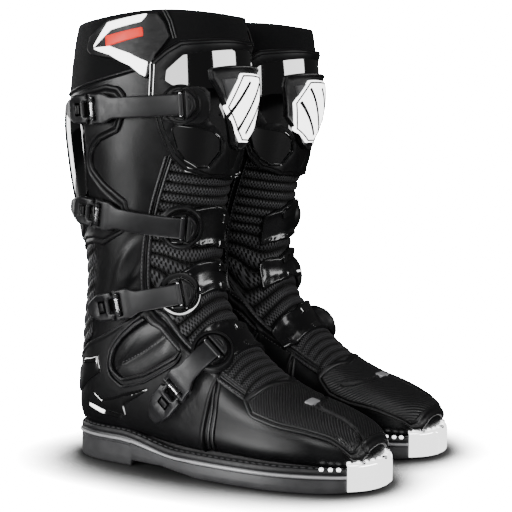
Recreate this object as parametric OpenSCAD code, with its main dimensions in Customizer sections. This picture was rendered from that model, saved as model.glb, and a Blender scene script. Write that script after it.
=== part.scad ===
// A pair of motocross boots: two mirrored boots that stand side by side.
// Millimetres. +Z is up, the toes point to -Y, the wearer's right boot is at -X.
// The origin is on the ground, at the middle of the pair.
// Every boot is drawn once, as the right boot, in its own frame: x is 0 on the boot's centre plane and
// -x is its outer (lateral) side. The left boot is its mirror image.

/* [Pair] */
// Distance between the centre planes of the two boots
boot_spacing = 136; // [134:1:220]
// Thickness of the leather and lining of the shaft and the foot
wall = 4.5; // [3:0.5:6]
// Thickness of the moulded plates that lie on the leather
plate_t = 3.4; // [2.5:0.1:4]

/* [Sole] */
// Height of the grey sole at the ball of the foot
sole_h = 16.5; // [14:0.5:20]
// How much higher the sole is at the heel
heel_rise = 10.5; // [6:0.5:14]
// Thickness of the stitched welt and of the footbed inside it
welt_t = 5; // [4:0.5:7]
// Height of the gap under the arch, in front of the heel block
arch_gap = 5; // [2:0.5:7]

/* [Closures] */
// Width of the straps
strap_w = 19; // [16:0.5:20]
// Thickness of the straps
strap_t = 3; // [2:0.25:3.5]
// Radius of the round boss that each strap is hinged in
boss_r = 14; // [13.5:0.5:16]
// Radius of the hinge pins
pin_r = 1.5; // [1:0.1:1.8]
// Radial clearance of the hinge pins in their bores
pin_gap = 0.05; // [0.02:0.01:0.1]
// Width of the levers
lever_w = 27; // [25:0.5:29]

/* [Hidden] */
SIDES = ["right", "left"];
PIECES = ["outsole", "welt", "footbed", "shank", "toe_guard", "toe_screws", "vamp", "toe_cover",
    "heel_cup", "instep_plate", "foot_latch", "shaft_leather", "front_gaiter", "ankle_gaiter",
    "shin_plate", "shin_badge", "collar", "collar_panel", "calf_guard", "upper_plate", "lower_plate",
    "shaft_latches", "strap_1", "strap_2", "strap_3", "strap_4",
    "lever_1", "lever_2", "lever_3", "lever_4"];

RUBBER = "dimgray";
STEEL = "silver";
LEATHER = [0.14, 0.14, 0.15];
MOULDING = [0.2, 0.2, 0.21];
GLOSS = [0.08, 0.08, 0.09];
MESH = [0.26, 0.26, 0.3];
WHITE = "white";

// Moves the pair along Y so that its box is centred on the origin
middle_y = -1.1;

// ---------- The last: the shape of the outside of the leather ----------
// Sections fan from the toe (first row) round the ankle to the top of the shaft (last row).
// Each row: front or top point y, z; back or bottom point y, z; half width on the outer side and on
// the inner side; roundness of the front half and of the back half (2 is an ellipse, more is squarer).
LAST = [
    [-151.5, 31, -151.5, 21, 12, 12, 2.2, 2.6],
    [-147,  42, -147,  19, 26, 26, 2.3, 3.0],
    [-134,  52, -133,  18, 38, 37, 2.4, 3.4],
    [-109,  62, -107,  18, 48, 44, 2.5, 3.6],
    [ -78,  72,  -72,  18, 53, 46, 2.5, 3.6],
    [ -47,  90,  -35,  18, 52, 44, 2.4, 3.6],
    [ -18, 118,   10,  19, 49, 42, 2.4, 3.4],
    [   3, 150,   60,  22, 45, 41, 2.3, 3.2],
    [   9, 184,  112,  24, 42, 41, 2.3, 2.8],
    [   8, 204,  146,  32, 42, 41, 2.2, 2.4],
    [   7, 222,  149,  66, 43, 42, 2.2, 2.2],
    [   2, 250,  146, 115, 46, 45, 2.1, 2.1],
    [  -6, 281,  140, 165, 50, 49, 2.1, 2.1],
    [ -13, 312,  144, 214, 54, 53, 2.1, 2.1],
    [ -18, 340,  154, 268, 59, 57, 2.1, 2.1],
    [ -18, 367,  158, 325, 61, 59, 2.1, 2.1],
    [ -14, 404,  146, 400, 60, 58, 2.1, 2.1]];
last_station = len(LAST) - 1;

function unit(v) = v / norm(v);
function mix(a, b, t) = a + (b - a) * t;
function smooth(t) = let (c = min(max(t, 0), 1)) c * c * (3 - 2 * c);
// A smooth curve through a, b, c, d between b and c
function curve(a, b, c, d, t) =
    (2 * b + (c - a) * t + (2 * a - 5 * b + 4 * c - d) * t * t + (3 * b - a - 3 * c + d) * t * t * t) / 2;
// The section at any station between 0 (toe) and last_station (top)
function section(s) =
    let (i = min(max(floor(s), 0), last_station - 1))
    curve(LAST[max(i - 1, 0)], LAST[i], LAST[i + 1], LAST[min(i + 2, last_station)], s - i);
// A point of the leather: angle 0 is the front or top, 90 the outer side, 180 the back or sole
function leather(s, a) =
    let (q = section(s), c = cos(a), k = sin(a), n = c >= 0 ? q[6] : q[7],
        r = pow(pow(abs(c), n) + pow(abs(k), n), -1 / n),
        w = k >= 0 ? q[4] : q[5],
        m = (1 + c * r) / 2)
    [-w * k * r, mix(q[2], q[0], m), mix(q[3], q[1], m)];
// The direction out of the leather at that point
function outwards(s, a) =
    let (p = leather(s, a), q = section(s), middle = [0, (q[0] + q[2]) / 2, (q[1] + q[3]) / 2],
        v = cross(leather(s, a + 0.5) - leather(s, a - 0.5), leather(s + 0.02, a) - leather(s - 0.02, a)))
    unit(v * (p - middle) > 0 ? v : -v);
// A point at a height above the leather
function skin(s, a, height) = leather(s, a) + height * outwards(s, a);

// Halves an interval until it finds where the leather at angle a rises through z = level[0] + level[1] * y
function rises(s, a, level) = let (p = leather(s, a)) p[2] - level[0] - level[1] * p[1];
function station_at(a, level, lo = 5, hi = 13, n = 16) =
    let (m = (lo + hi) / 2)
    n == 0 ? m : rises(m, a, level) > 0 ? station_at(a, level, lo, m, n - 1) : station_at(a, level, m, hi, n - 1);
function angle_at(s, side, level, lo = 0, hi = 180, n = 16) =
    let (m = (lo + hi) / 2)
    n == 0 ? m : rises(s, side * m, level) > 0 ? angle_at(s, side, level, m, hi, n - 1)
        : angle_at(s, side, level, lo, m, n - 1);

// Height of the sole's top at y, and the angle at which the leather meets the welt's top
function sole_top(y) = sole_h + heel_rise * smooth((y - 20) / 70);
function welt_angle(s, side, lo = 90, hi = 180, n = 14) =
    let (m = (lo + hi) / 2, p = leather(s, side * m))
    n == 0 ? lo : p[2] > sole_top(p[1]) + welt_t + 0.3 ? welt_angle(s, side, m, hi, n - 1)
        : welt_angle(s, side, lo, m, n - 1);

// ---------- Solids made from grids of points ----------
// A closed solid between two grids of points, rows of stations by columns of angles.
// Closed in a ring, its last column joins the first one.
module between(outer, inner, ring = false) {
    rows = len(outer);
    cols = len(outer[0]);
    last = ring ? cols - 1 : cols - 2;
    flat_outer = [for (r = outer) for (p = r) p];
    flat_inner = [for (r = inner) for (p = r) p];
    o = function(i, j) i * cols + j % cols;
    n = function(i, j) rows * cols + i * cols + j % cols;
    quad = function(a, b, c, d) [[a, b, c], [a, c, d]];
    skins = [for (i = [0 : rows - 2]) for (j = [0 : last]) each concat(
        quad(o(i, j), o(i, j + 1), o(i + 1, j + 1), o(i + 1, j)),
        quad(n(i, j), n(i + 1, j), n(i + 1, j + 1), n(i, j + 1)))];
    ends = [for (j = [0 : last]) each concat(
        quad(o(0, j + 1), o(0, j), n(0, j), n(0, j + 1)),
        quad(o(rows - 1, j), o(rows - 1, j + 1), n(rows - 1, j + 1), n(rows - 1, j)))];
    sides = ring ? [] : [for (i = [0 : rows - 2]) each concat(
        quad(o(i, 0), o(i + 1, 0), n(i + 1, 0), n(i, 0)),
        quad(o(i + 1, cols - 1), o(i, cols - 1), n(i, cols - 1), n(i + 1, cols - 1)))];
    polyhedron(concat(flat_outer, flat_inner), concat(skins, ends, sides), convexity = 6);
}
// The same, for a grid of [station, angle] pairs and two heights over the leather
module sheet(grid, low, high, ring = false) {
    between([for (r = grid) [for (q = r) skin(q[0], q[1], high)]],
        [for (r = grid) [for (q = r) skin(q[0], q[1], low)]], ring);
}
// A grid between two edges, each a table of [angle, station]
function patch(from, to, cols, low_edge, high_edge, rows) =
    [for (i = [0 : rows]) [for (j = [0 : cols]) let (a = mix(from, to, j / cols))
        [mix(lookup(a, low_edge), lookup(a, high_edge), i / rows), a]]];
// A grid from a level up to a station, all round or between two angles
function above(from, to, cols, level, top, rows) =
    [for (i = [0 : rows]) [for (j = [0 : cols]) let (a = mix(from, to, j / cols))
        [mix(station_at(a, level), top, i / rows), a]]];

// ---------- Sole ----------
// Outline of the sole seen from above, from the heel down the outer side and back up the inner side
SOLE = [[0, 152], [-17, 148], [-28, 138], [-37, 117], [-42, 82], [-47, 42], [-53, 0], [-57, -40],
    [-57, -75], [-51, -105], [-42, -130], [-31, -146], [-18, -155], [0, -158.5], [19, -155], [31, -146],
    [41, -130], [46, -105], [46, -75], [43, -40], [38, 0], [36, 42], [37, 82], [35, 117], [27, 138], [17, 148]];
sole_steps = 3;
function sole_point(i) = SOLE[(i + len(SOLE)) % len(SOLE)];
module sole_plan() {
    polygon([for (i = [0 : len(SOLE) - 1]) for (k = [0 : sole_steps - 1])
        curve(sole_point(i - 1), sole_point(i), sole_point(i + 1), sole_point(i + 2), k / sole_steps)]);
}
heel_front_y = 74;
toe_spring = 3;
// Everything between two heights over the sole's top, seen from the side and drawn through the boot
module layer(low, high) {
    ys = [-170, 20, 32, 44, 55, 66, 78, 90, 165];
    side = concat([for (y = ys) [y, sole_top(y) + low]],
        [for (i = [len(ys) - 1 : -1 : 0]) [ys[i], sole_top(ys[i]) + high]]);
    rotate([90, 0, 90])
    linear_extrude(200, center = true)
    polygon(side);
}
module outsole() {
    tread = [[-170, toe_spring], [-120, 0], [0, 0], [heel_front_y - 30, arch_gap],
        [heel_front_y, arch_gap], [heel_front_y + 1, 0], [140, 0], [165, 2]];
    color(RUBBER)
    difference() {
        intersection() {
            linear_extrude(60) sole_plan();
            layer(-60, 0);
            rotate([90, 0, 90])
            linear_extrude(200, center = true)
            polygon(concat(tread, [[165, 60], [-170, 60]]));
        }
        shank_space(0.2, 1);
    }
}
footbed_inset = 9;
module welt() {
    color(LEATHER)
    intersection() {
        linear_extrude(60)
        difference() {
            offset(delta = -1) sole_plan();
            offset(delta = -footbed_inset) sole_plan();
        }
        layer(0, welt_t);
    }
}
module footbed() {
    color("tan")
    intersection() {
        linear_extrude(60) offset(delta = -footbed_inset - 0.3) sole_plan();
        layer(0.1, welt_t);
    }
}
shank_w = 20;
shank_length = 120;
// The slot in the top of the sole that the shank lies in, and the shank itself
module shank_space(gap, over) {
    intersection() {
        translate([-shank_w / 2 - gap, -30 - gap, 0]) cube([shank_w + 2 * gap, shank_length + 2 * gap, 60]);
        layer(-2 - gap, over);
    }
}
module shank() {
    color(STEEL) shank_space(0, -0.2);
}

// ---------- Toe guard ----------
guard_back = -139;
guard_top = 25;
guard_t = 1.6;
module guard_plan(grow) {
    intersection() {
        offset(r = grow, $fn = 24) sole_plan();
        translate([-100, -200]) square([200, 200 + guard_back]);
    }
}
module toe_guard() {
    color(STEEL) {
        translate([0, 0, toe_spring])
        linear_extrude(guard_top - toe_spring)
        difference() {
            guard_plan(0.3 + guard_t);
            guard_plan(0.3);
        }
        translate([0, 0, guard_top])
        linear_extrude(guard_t)
        difference() {
            guard_plan(0.3 + guard_t);
            guard_plan(-2.6);
        }
    }
}
// Three screws that hold the guard's rim down on the welt
module toe_screws() {
    color(STEEL)
    for (p = [[-26, -149.6], [0, -158], [26, -149.6]])
    translate([p[0], p[1], guard_top + guard_t + 0.02]) {
        cylinder(h = 1.2, r = 2.1, $fn = 32);
        translate([0, 0, 1.2]) cylinder(h = 0.6, r1 = 2.1, r2 = 1.5, $fn = 32);
    }
}

// ---------- Foot ----------
ankle_top = [128, 0];
shaft_bottom = [149, -0.086];
vamp_back = 5.6;
tongue_angle = 60;
// Leather over the toes and the instep, with the stretch tongue up to the ankle
module vamp() {
    forefoot = [for (s = [0, 0.4, 0.8, 1.3, 2, 2.7, 3.4, 4.2, 4.9, vamp_back])
        let (out = welt_angle(s, 1), in = welt_angle(s, -1))
        [for (j = [0 : 20]) [s, mix(-in, out, j / 20)]]];
    instep = [for (t = [0 : 0.125 : 1]) [for (j = [0 : 20])
        let (a = mix(-tongue_angle, tongue_angle, j / 20))
        [mix(vamp_back + 0.02, station_at(a, ankle_top), t), a]]];
    color(LEATHER) sheet(concat(forefoot, instep), -wall + 0.5, 0);
}
// Moulded shell round the heel and the ankle, in two halves that meet at the back
module heel_cup() {
    color(MOULDING)
    difference() {
        heel_shell();
        layer(-60, welt_t + 0.15);
    }
}
module heel_shell() {
    for (side = [-1, 1]) {
        rows = [for (s = [5.7, 6.2, 6.8, 7.4, 8, 8.6, 9, 9.4, 9.8, 10.3, 10.8])
            let (top = max(angle_at(s, side, ankle_top), tongue_angle + 1.5), low = welt_angle(s, side))
            [for (j = [0 : 9]) [s, side * mix(top, low > 178 ? 180 : low, j / 9)]]];
        top_row = [for (j = [0 : 9]) let (a = mix(angle_at(10.8, side, ankle_top), 180, j / 9))
            [max(station_at(a, ankle_top), 10.81), side * a]];
        grid = concat(rows, [top_row]);
        sheet([for (r = grid) side > 0 ? r : [for (j = [9 : -1 : 0]) r[j]]], -wall + 0.5, 1.5);
    }
}
module toe_cover() {
    back_edge = [[-82, 3.6], [-74, 4.6], [-62, 5.1], [-10, 4.65], [31, 4.78], [53, 4.95], [66, 4.9],
        [72, 4.5], [76, 3.2]];
    front_edge = [[-82, 1.3], [-40, 0.75], [0, 0.55], [40, 0.75], [76, 1.6]];
    color(MOULDING) sheet(patch(-82, 76, 14, front_edge, back_edge, 8), 0.8, 3.4);
}

// ---------- Shaft ----------
shaft_top = 15.1;
module shaft_leather() {
    color(LEATHER) sheet(above(62, 298, 20, shaft_bottom, shaft_top, 7), -wall, 0);
}
module front_gaiter() {
    color(MESH) sheet(above(-61, 61, 12, shaft_bottom, shaft_top, 14), -wall, 0);
}
// The soft ring between the foot and the shaft, which folds as the ankle bends
module ankle_gaiter() {
    grid = [for (t = [0, 0.5, 1]) [for (j = [0 : 23]) let (a = -180 + 15 * j)
        [mix(station_at(a, ankle_top + [1, 0]), station_at(a, shaft_bottom - [1, 0]), t), a]]];
    color(MESH) sheet(grid, -wall + 0.5, -1, ring = true);
}
module collar() {
    grid = [for (s = [shaft_top + 0.06, 15.5, 15.8, 16]) [for (j = [0 : 23]) [s, -180 + 15 * j]]];
    color(MESH) sheet(grid, -wall - 2, 0.6, ring = true);
}
module collar_panel() {
    low_edge = [[63, 15.45], [70, 15.35], [82, 15.4], [101, 15.5], [118, 15.6]];
    high_edge = [[63, 15.8], [68, 15.95], [118, 15.95]];
    color(MOULDING) sheet(patch(63, 118, 6, low_edge, high_edge, 3), 1.4, 4);
}
module calf_guard() {
    low_edge = [[88, 14.2], [100, 13.4], [115, 13.6], [180, 13.7], [245, 13.6], [260, 13.4], [272, 14.2]];
    high_edge = [[88, 14.75], [98, 15.05], [262, 15.05], [272, 14.75]];
    color(GLOSS) sheet(patch(88, 272, 16, low_edge, high_edge, 5), 0.9, 0.9 + plate_t);
}
module shin_badge() {
    low_edge = [[-29, 13.45], [-10, 12.5], [6, 12.35], [36, 14.4]];
    high_edge = [[-29, 13.75], [-10, 14.55], [10, 14.7], [36, 14.75]];
    color(WHITE) sheet(patch(-29, 36, 6, low_edge, high_edge, 6), plate_t + 1.5, plate_t + 5);
}

// ---------- Closures ----------
// Each closure: hinge pin of the strap, pin of the lever, direction out of the boot, rise of the bowed strap,
// radius that the lever is bent to, length of the lever behind its pin
CLOSURES = [
    [[-55, 11, 327], [-67, 96, 324], [-0.99, -0.14, -0.06], 7, 38, 37],
    [[-39.5, 20, 219], [-58, 98, 231], [-0.97, -0.2, -0.12], 8.5, 36, 37],
    [[-41.5, 22, 161], [-54, 80, 149], [-0.98, -0.2, 0.03], 4, 48, 35],
    [[-44.6, -13.8, 115.6], [-55, 19, 78], [-0.95, -0.15, 0.27], 6.5, 60, 40]];
function hinge(k) = CLOSURES[k][0];
function along(k) = unit(CLOSURES[k][1] - hinge(k));
function upwards(k) = unit(cross(along(k), CLOSURES[k][2]));
function outward(k) = cross(upwards(k), along(k));
function reach(k) = norm(CLOSURES[k][1] - hinge(k));
function bow(k) = CLOSURES[k][3];
// Angle between the bowed strap and its chord at either end
function end_angle(k) = atan(2 * bow(k) / reach(k)) * 2;
// Places children in a closure's frame: x along the strap, y out of the boot, z along the pins
module in_closure(k) {
    u = along(k);
    n = outward(k);
    w = upwards(k);
    h = hinge(k);
    multmatrix([[u[0], n[0], w[0], h[0]], [u[1], n[1], w[1], h[1]], [u[2], n[2], w[2], h[2]], [0, 0, 0, 1]])
    children();
}
// A bar of rectangular outline along z
module slab(x0, x1, y0, y1, width) {
    translate([x0, y0, -width / 2]) cube([x1 - x0, y1 - y0, width]);
}
// Outline of a band of the strap's thickness, bowed from [0, 0] to [length, 0]
function bowed(length, rise, t, steps = 14) =
    let (radius = (length * length / 4 + rise * rise) / (2 * rise), half = asin(length / 2 / radius),
        line = function(r, a) [length / 2 + r * sin(a), rise - radius + r * cos(a)])
    concat([for (i = [0 : steps]) line(radius + t / 2, mix(-half, half, i / steps))],
        [for (i = [steps : -1 : 0]) line(radius - t / 2, mix(-half, half, i / steps))]);
yoke_w = lever_w;
prong_w = 3.6;
rail_w = 3.4;
knuckle_r = 2.7;
// The strap, its two hinge pins, and the yoke with the steel roller that the lever turns on
module strap(k) {
    length = reach(k);
    color(MOULDING)
    in_closure(k) {
        difference() {
            linear_extrude(strap_w, center = true) polygon(bowed(length, bow(k), strap_t));
            slab(length - 5.2, length + 5, -10, 10, strap_w + 1);
        }
        cylinder(h = strap_w, r = knuckle_r, center = true, $fn = 32);
        cylinder(h = strap_w + 6, r = pin_r, center = true, $fn = 32);
        translate([length, 0, 0]) {
            cylinder(h = yoke_w - 1, r = pin_r, center = true, $fn = 32);
            cylinder(h = yoke_w - 2 * prong_w - 2 * rail_w - 0.8, r = 3, center = true, $fn = 32);
            rotate(-end_angle(k)) {
                slab(-13, -5, -1.6, 2.2, yoke_w);
                for (side = [-1, 1])
                translate([0, 0, side * (yoke_w - prong_w) / 2]) {
                    slab(-6, 1, -1.6, 2.2, prong_w);
                    cylinder(h = prong_w, r = 3, center = true, $fn = 32);
                }
            }
        }
    }
}
// How far behind the pin the middle of the lever's rear window is, along the lever
window_middle = 17;
// Outline of the lever from its pin to its tip, bent round the boot
function lever_side(radius, length, low, high, steps = 8) =
    let (turn = length / radius * 180 / PI,
        line = function(r, a) [r * sin(a), r * cos(a) - radius])
    concat([for (i = [0 : steps]) line(radius + high, turn * i / steps)],
        [for (i = [steps : -1 : 0]) line(radius + low, turn * i / steps)]);
module lever(k) {
    radius = CLOSURES[k][4];
    length = CLOSURES[k][5];
    rails_w = yoke_w - 2 * prong_w - 0.6;
    color(MOULDING)
    in_closure(k)
    translate([reach(k), 0, 0]) {
        difference() {
            intersection() {
                linear_extrude(lever_w, center = true) polygon(lever_side(radius, length, -1.8, 2.2));
                rotate([-90, 0, 0])
                linear_extrude(80, center = true)
                polygon([[4.4, -lever_w / 2], [length * 0.55, -lever_w / 2 + 0.5], [length * 0.86, -8],
                    [length + 5, -5], [length + 5, 5], [length * 0.86, 8], [length * 0.55, lever_w / 2 - 0.5],
                    [4.4, lever_w / 2]]);
            }
            translate([0, -radius, 0])
            rotate(-window_middle / radius * 180 / PI)
            translate([0, radius, 0])
            slab(-4.5, 4.5, -20, 20, 12);
            slab(-1, 8, -20, 20, rails_w - 2 * rail_w);
        }
        for (side = [-1, 1])
        translate([0, 0, side * (rails_w - rail_w) / 2])
        difference() {
            union() {
                cylinder(h = rail_w, r = 3.4, center = true, $fn = 32);
                slab(0, 6, -2.2, 1.9, rail_w);
            }
            cylinder(h = rail_w + 1, r = pin_r + pin_gap, center = true, $fn = 32);
        }
    }
}
// The round boss with its slot for the strap and its two bores, on a skirt that reaches the plate
module boss(k, s, a) {
    in_closure(k)
    rotate(end_angle(k))
    difference() {
        rotate([90, 0, 0]) translate([0, 0, -2.6]) cylinder(h = 8, r = boss_r, $fn = 64);
        slab(-knuckle_r - 0.6, 20, -knuckle_r - 1.3, 10, strap_w + 0.6);
        cylinder(h = 40, r = pin_r + pin_gap, center = true, $fn = 32);
    }
    hull() {
        in_closure(k)
        rotate(end_angle(k))
        rotate([90, 0, 0]) translate([0, 0, 4.2]) cylinder(h = 1, r = boss_r + 1, $fn = 24);
        sheet(patch(a - 12, a + 9, 2, [[-90, s - 0.12], [90, s - 0.12]], [[-90, s + 0.12], [90, s + 0.12]], 2),
            1.4, 2.4);
    }
}
module shin_plate() {
    low_edge = [[-68, 14.0], [-60, 12.8], [-50, 12.2], [-30, 11.6], [0, 11.35], [30, 11.6], [50, 12.2],
        [60, 12.8], [70, 14.2]];
    high_edge = [[-68, 15.0], [-60, 15.3], [-48, 15.45], [48, 15.45], [60, 15.35], [70, 15.2]];
    color(GLOSS) {
        sheet(patch(-68, 70, 14, low_edge, high_edge, 8), 0.9, 0.9 + plate_t);
        boss(0, 13.98, 50);
    }
}
module upper_plate() {
    low_edge = [[-42, 9.4], [-6, 8.8], [28, 9.35], [58, 10.7]];
    high_edge = [[-42, 10.6], [-20, 10.35], [0, 10.5], [31, 10.9], [58, 11.4]];
    color(MOULDING) {
        sheet(patch(-42, 58, 10, low_edge, high_edge, 4), 0.9, 0.9 + plate_t);
        boss(1, 10.6, 40);
    }
}
module lower_plate() {
    low_edge = [[-45, 7.5], [-15, 7.4], [33, 7.5], [62, 8.3]];
    high_edge = [[-45, 8.7], [-20, 8.1], [0, 8.2], [46, 9.0], [62, 9.6]];
    color(MOULDING) {
        sheet(patch(-45, 62, 12, low_edge, high_edge, 6), 0.9, 0.9 + plate_t);
        boss(2, 8.1, 45);
    }
}
module instep_plate() {
    low_edge = [[-62, 5.9], [-45, 5.7], [22, 5.7], [44, 5.75], [56, 6.2]];
    high_edge = [[-62, 6.5], [-20, 6.4], [16, 6.5], [38, 6.6], [56, 6.6]];
    color(MOULDING) {
        sheet(patch(-62, 56, 16, low_edge, high_edge, 4), 1.4, 1 + plate_t);
        boss(3, 6.1, 38);
    }
}
// Catch under a lever: a pad cut from a sheet on the boot, with a post that stands in the lever's rear window
module latch(k, s0, s1, a0, a1, low) {
    bend = CLOSURES[k][4];
    in_closure(k)
    translate([reach(k), -bend, 0])
    rotate(-window_middle / bend * 180 / PI)
    translate([0, bend, 0])
    slab(-3, 3, low - 9.3, 1.2, 9);
    intersection() {
        sheet(patch(a0, a1, 4, [[0, s0], [180, s0]], [[0, s1], [180, s1]], 4), low, low + 2.2);
        in_closure(k) slab(reach(k) + 5.4, reach(k) + 24, -40, 20, lever_w - 4);
    }
}
module shaft_latches() {
    color(MOULDING) {
        latch(0, 14.3, 15.05, 100, 132, plate_t + 1.4);
        latch(1, 12.3, 13.7, 108, 150, 0.9);
        latch(2, 9.6, 11.3, 88, 128, 0.9);
    }
}
module foot_latch() {
    color(MOULDING) latch(3, 6.2, 7.4, 88, 135, 2.2);
}

// ---------- Pair ----------
module on_side(side) {
    if (side == "left")
        mirror([1, 0, 0]) translate([-boot_spacing / 2, middle_y, 0]) children();
    else
        translate([-boot_spacing / 2, middle_y, 0]) children();
}
for (side = SIDES)
on_side(side) {
    outsole();
    welt();
    footbed();
    shank();
    toe_guard();
    toe_screws();
    vamp();
    toe_cover();
    heel_cup();
    instep_plate();
    foot_latch();
    shaft_leather();
    front_gaiter();
    ankle_gaiter();
    shin_plate();
    shin_badge();
    collar();
    collar_panel();
    calf_guard();
    upper_plate();
    lower_plate();
    shaft_latches();
    for (k = [0 : 3]) {
        strap(k);
        lever(k);
    }
}
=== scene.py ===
"""A pair of motocross boots. Every piece is made once, as the right boot in millimetres with its outer side
at -x, then placed in the frame and mirrored for the left boot."""
import math
import random

import bmesh
import bpy
import numpy as np
from mathutils import Matrix, Vector, geometry


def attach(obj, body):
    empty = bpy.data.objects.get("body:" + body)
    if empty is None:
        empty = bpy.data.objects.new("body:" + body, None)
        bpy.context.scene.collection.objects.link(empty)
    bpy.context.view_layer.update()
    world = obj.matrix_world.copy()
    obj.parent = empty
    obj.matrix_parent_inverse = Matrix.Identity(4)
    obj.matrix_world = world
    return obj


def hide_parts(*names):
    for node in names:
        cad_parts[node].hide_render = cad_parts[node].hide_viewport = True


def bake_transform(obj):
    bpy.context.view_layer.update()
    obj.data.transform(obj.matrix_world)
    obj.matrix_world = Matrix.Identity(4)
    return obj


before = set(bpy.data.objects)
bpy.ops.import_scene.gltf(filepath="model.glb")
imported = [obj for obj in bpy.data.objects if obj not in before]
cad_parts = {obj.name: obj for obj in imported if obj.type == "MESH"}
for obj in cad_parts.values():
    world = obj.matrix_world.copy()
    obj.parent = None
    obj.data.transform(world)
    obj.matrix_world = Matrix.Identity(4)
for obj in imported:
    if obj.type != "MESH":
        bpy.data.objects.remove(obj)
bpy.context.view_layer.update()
random.seed(7)

MM = 0.001
BOOT_SPACING = 136
MIDDLE_Y = -1.1
PIVOT = (80, 105)
SIDES = ("right", "left")

# ---------------------------------------------------------------- the last
# Front or top point y, z; back or bottom point y, z; half widths outside and inside; roundness front, back
LAST = np.array([
    (-151.5, 31, -151.5, 21, 12, 12, 2.2, 2.6),
    (-147, 42, -147, 19, 26, 26, 2.3, 3.0),
    (-134, 52, -133, 18, 38, 37, 2.4, 3.4),
    (-109, 62, -107, 18, 48, 44, 2.5, 3.6),
    (-78, 72, -72, 18, 53, 46, 2.5, 3.6),
    (-47, 90, -35, 18, 52, 44, 2.4, 3.6),
    (-18, 118, 10, 19, 49, 42, 2.4, 3.4),
    (3, 150, 60, 22, 45, 41, 2.3, 3.2),
    (9, 184, 112, 24, 42, 41, 2.3, 2.8),
    (8, 204, 146, 32, 42, 41, 2.2, 2.4),
    (7, 222, 149, 66, 43, 42, 2.2, 2.2),
    (2, 250, 146, 115, 46, 45, 2.1, 2.1),
    (-6, 281, 140, 165, 50, 49, 2.1, 2.1),
    (-13, 312, 144, 214, 54, 53, 2.1, 2.1),
    (-18, 340, 154, 268, 59, 57, 2.1, 2.1),
    (-18, 367, 158, 325, 61, 59, 2.1, 2.1),
    (-14, 404, 146, 400, 60, 58, 2.1, 2.1)], float)
TOP = len(LAST) - 1


def catmull(rows, t, closed=False):
    """Points of a smooth curve through rows, at t counted in rows."""
    n = len(rows)
    t = np.asarray(t, float)
    i = np.floor(t).astype(int)
    if closed:
        pick = lambda k: rows[(i + k) % n]
    else:
        i = np.clip(i, 0, n - 2)
        pick = lambda k: rows[np.clip(i + k, 0, n - 1)]
    f = (t - i)[..., None]
    a, b, c, d = pick(-1), pick(0), pick(1), pick(2)
    return (2 * b + (c - a) * f + (2 * a - 5 * b + 4 * c - d) * f**2 + (3 * b - a - 3 * c + d) * f**3) / 2


def leather(s, a):
    """Point of the leather at station s and angle a in degrees: 0 front, 90 outer side, 180 back."""
    s, a = np.broadcast_arrays(np.asarray(s, float), np.asarray(a, float))
    q = catmull(LAST, s)
    c, k = np.cos(np.radians(a)), np.sin(np.radians(a))
    n = np.where(c >= 0, q[..., 6], q[..., 7])
    r = (np.abs(c) ** n + np.abs(k) ** n) ** (-1 / n)
    w = np.where(k >= 0, q[..., 4], q[..., 5])
    m = ((1 + c * r) / 2)[..., None]
    yz = q[..., 2:4] * (1 - m) + q[..., 0:2] * m
    return np.concatenate([(-w * k * r)[..., None], yz], -1)


def outwards(s, a):
    """Direction out of the leather."""
    q = catmull(LAST, s)
    p = leather(s, a)
    v = np.cross(leather(s, a + 0.5) - leather(s, a - 0.5), leather(s + 0.02, a) - leather(s - 0.02, a))
    yz = (q[..., 0:2] + q[..., 2:4]) / 2
    middle = np.concatenate([np.zeros_like(yz[..., :1]), yz], -1)
    v *= np.sign(np.sum(v * (p - middle), -1, keepdims=True))
    return v / (np.linalg.norm(v, axis=-1, keepdims=True) + 1e-12)


def skin(s, a, height=0.0):
    s, a = np.asarray(s, float), np.asarray(a, float)
    return leather(s, a) + np.asarray(height, float)[..., None] * outwards(s, a)


GRID_S, GRID_A = np.meshgrid(np.arange(0, TOP + 0.01, 0.05), np.arange(-180, 180, 2.0), indexing="ij")
GRID_P = leather(GRID_S, GRID_A).reshape(-1, 3)


def on_leather(points):
    """Station and angle of the leather nearest to each point."""
    found = []
    for p in np.atleast_2d(points):
        k = int(((GRID_P - p) ** 2).sum(1).argmin())
        s, a = GRID_S.flat[k], GRID_A.flat[k]
        for _ in range(4):
            base = leather(s, a)
            ds = (leather(s + 0.01, a) - base) / 0.01
            da = (leather(s, a + 0.2) - base) / 0.2
            step = np.linalg.lstsq(np.stack([ds, da], 1), p - base, rcond=None)[0]
            s, a = s + np.clip(step[0], -0.1, 0.1), a + np.clip(step[1], -4, 4)
        found.append((s, a))
    return np.array(found)


# ---------------------------------------------------------------- meshes
MADE = []


def new_piece(name, verts, faces, material, body, cad=(), slot=None, uvs=None, sharp=40, blend=False):
    """A piece of the right boot in mm. body is foot, shaft, strap_1 ... and cad the nodes it stands for."""
    MADE.append(dict(name=name, verts=np.asarray(verts, float), faces=faces, material=material, body=body,
                     cad=cad, slot=slot, uvs=uvs, sharp=sharp, blend=blend))


def join_parts(parts):
    """Several (verts, faces) as one."""
    verts, faces, at = [], [], 0
    for v, f in parts:
        verts.append(np.asarray(v, float))
        faces.extend([tuple(i + at for i in face) for face in f])
        at += len(v)
    return np.concatenate(verts), faces


def grid_faces(rows, cols, ring=False, at=0):
    last = cols if ring else cols - 1
    return [(at + i * cols + j, at + i * cols + (j + 1) % cols, at + (i + 1) * cols + (j + 1) % cols,
             at + (i + 1) * cols + j) for i in range(rows - 1) for j in range(last)]


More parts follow.
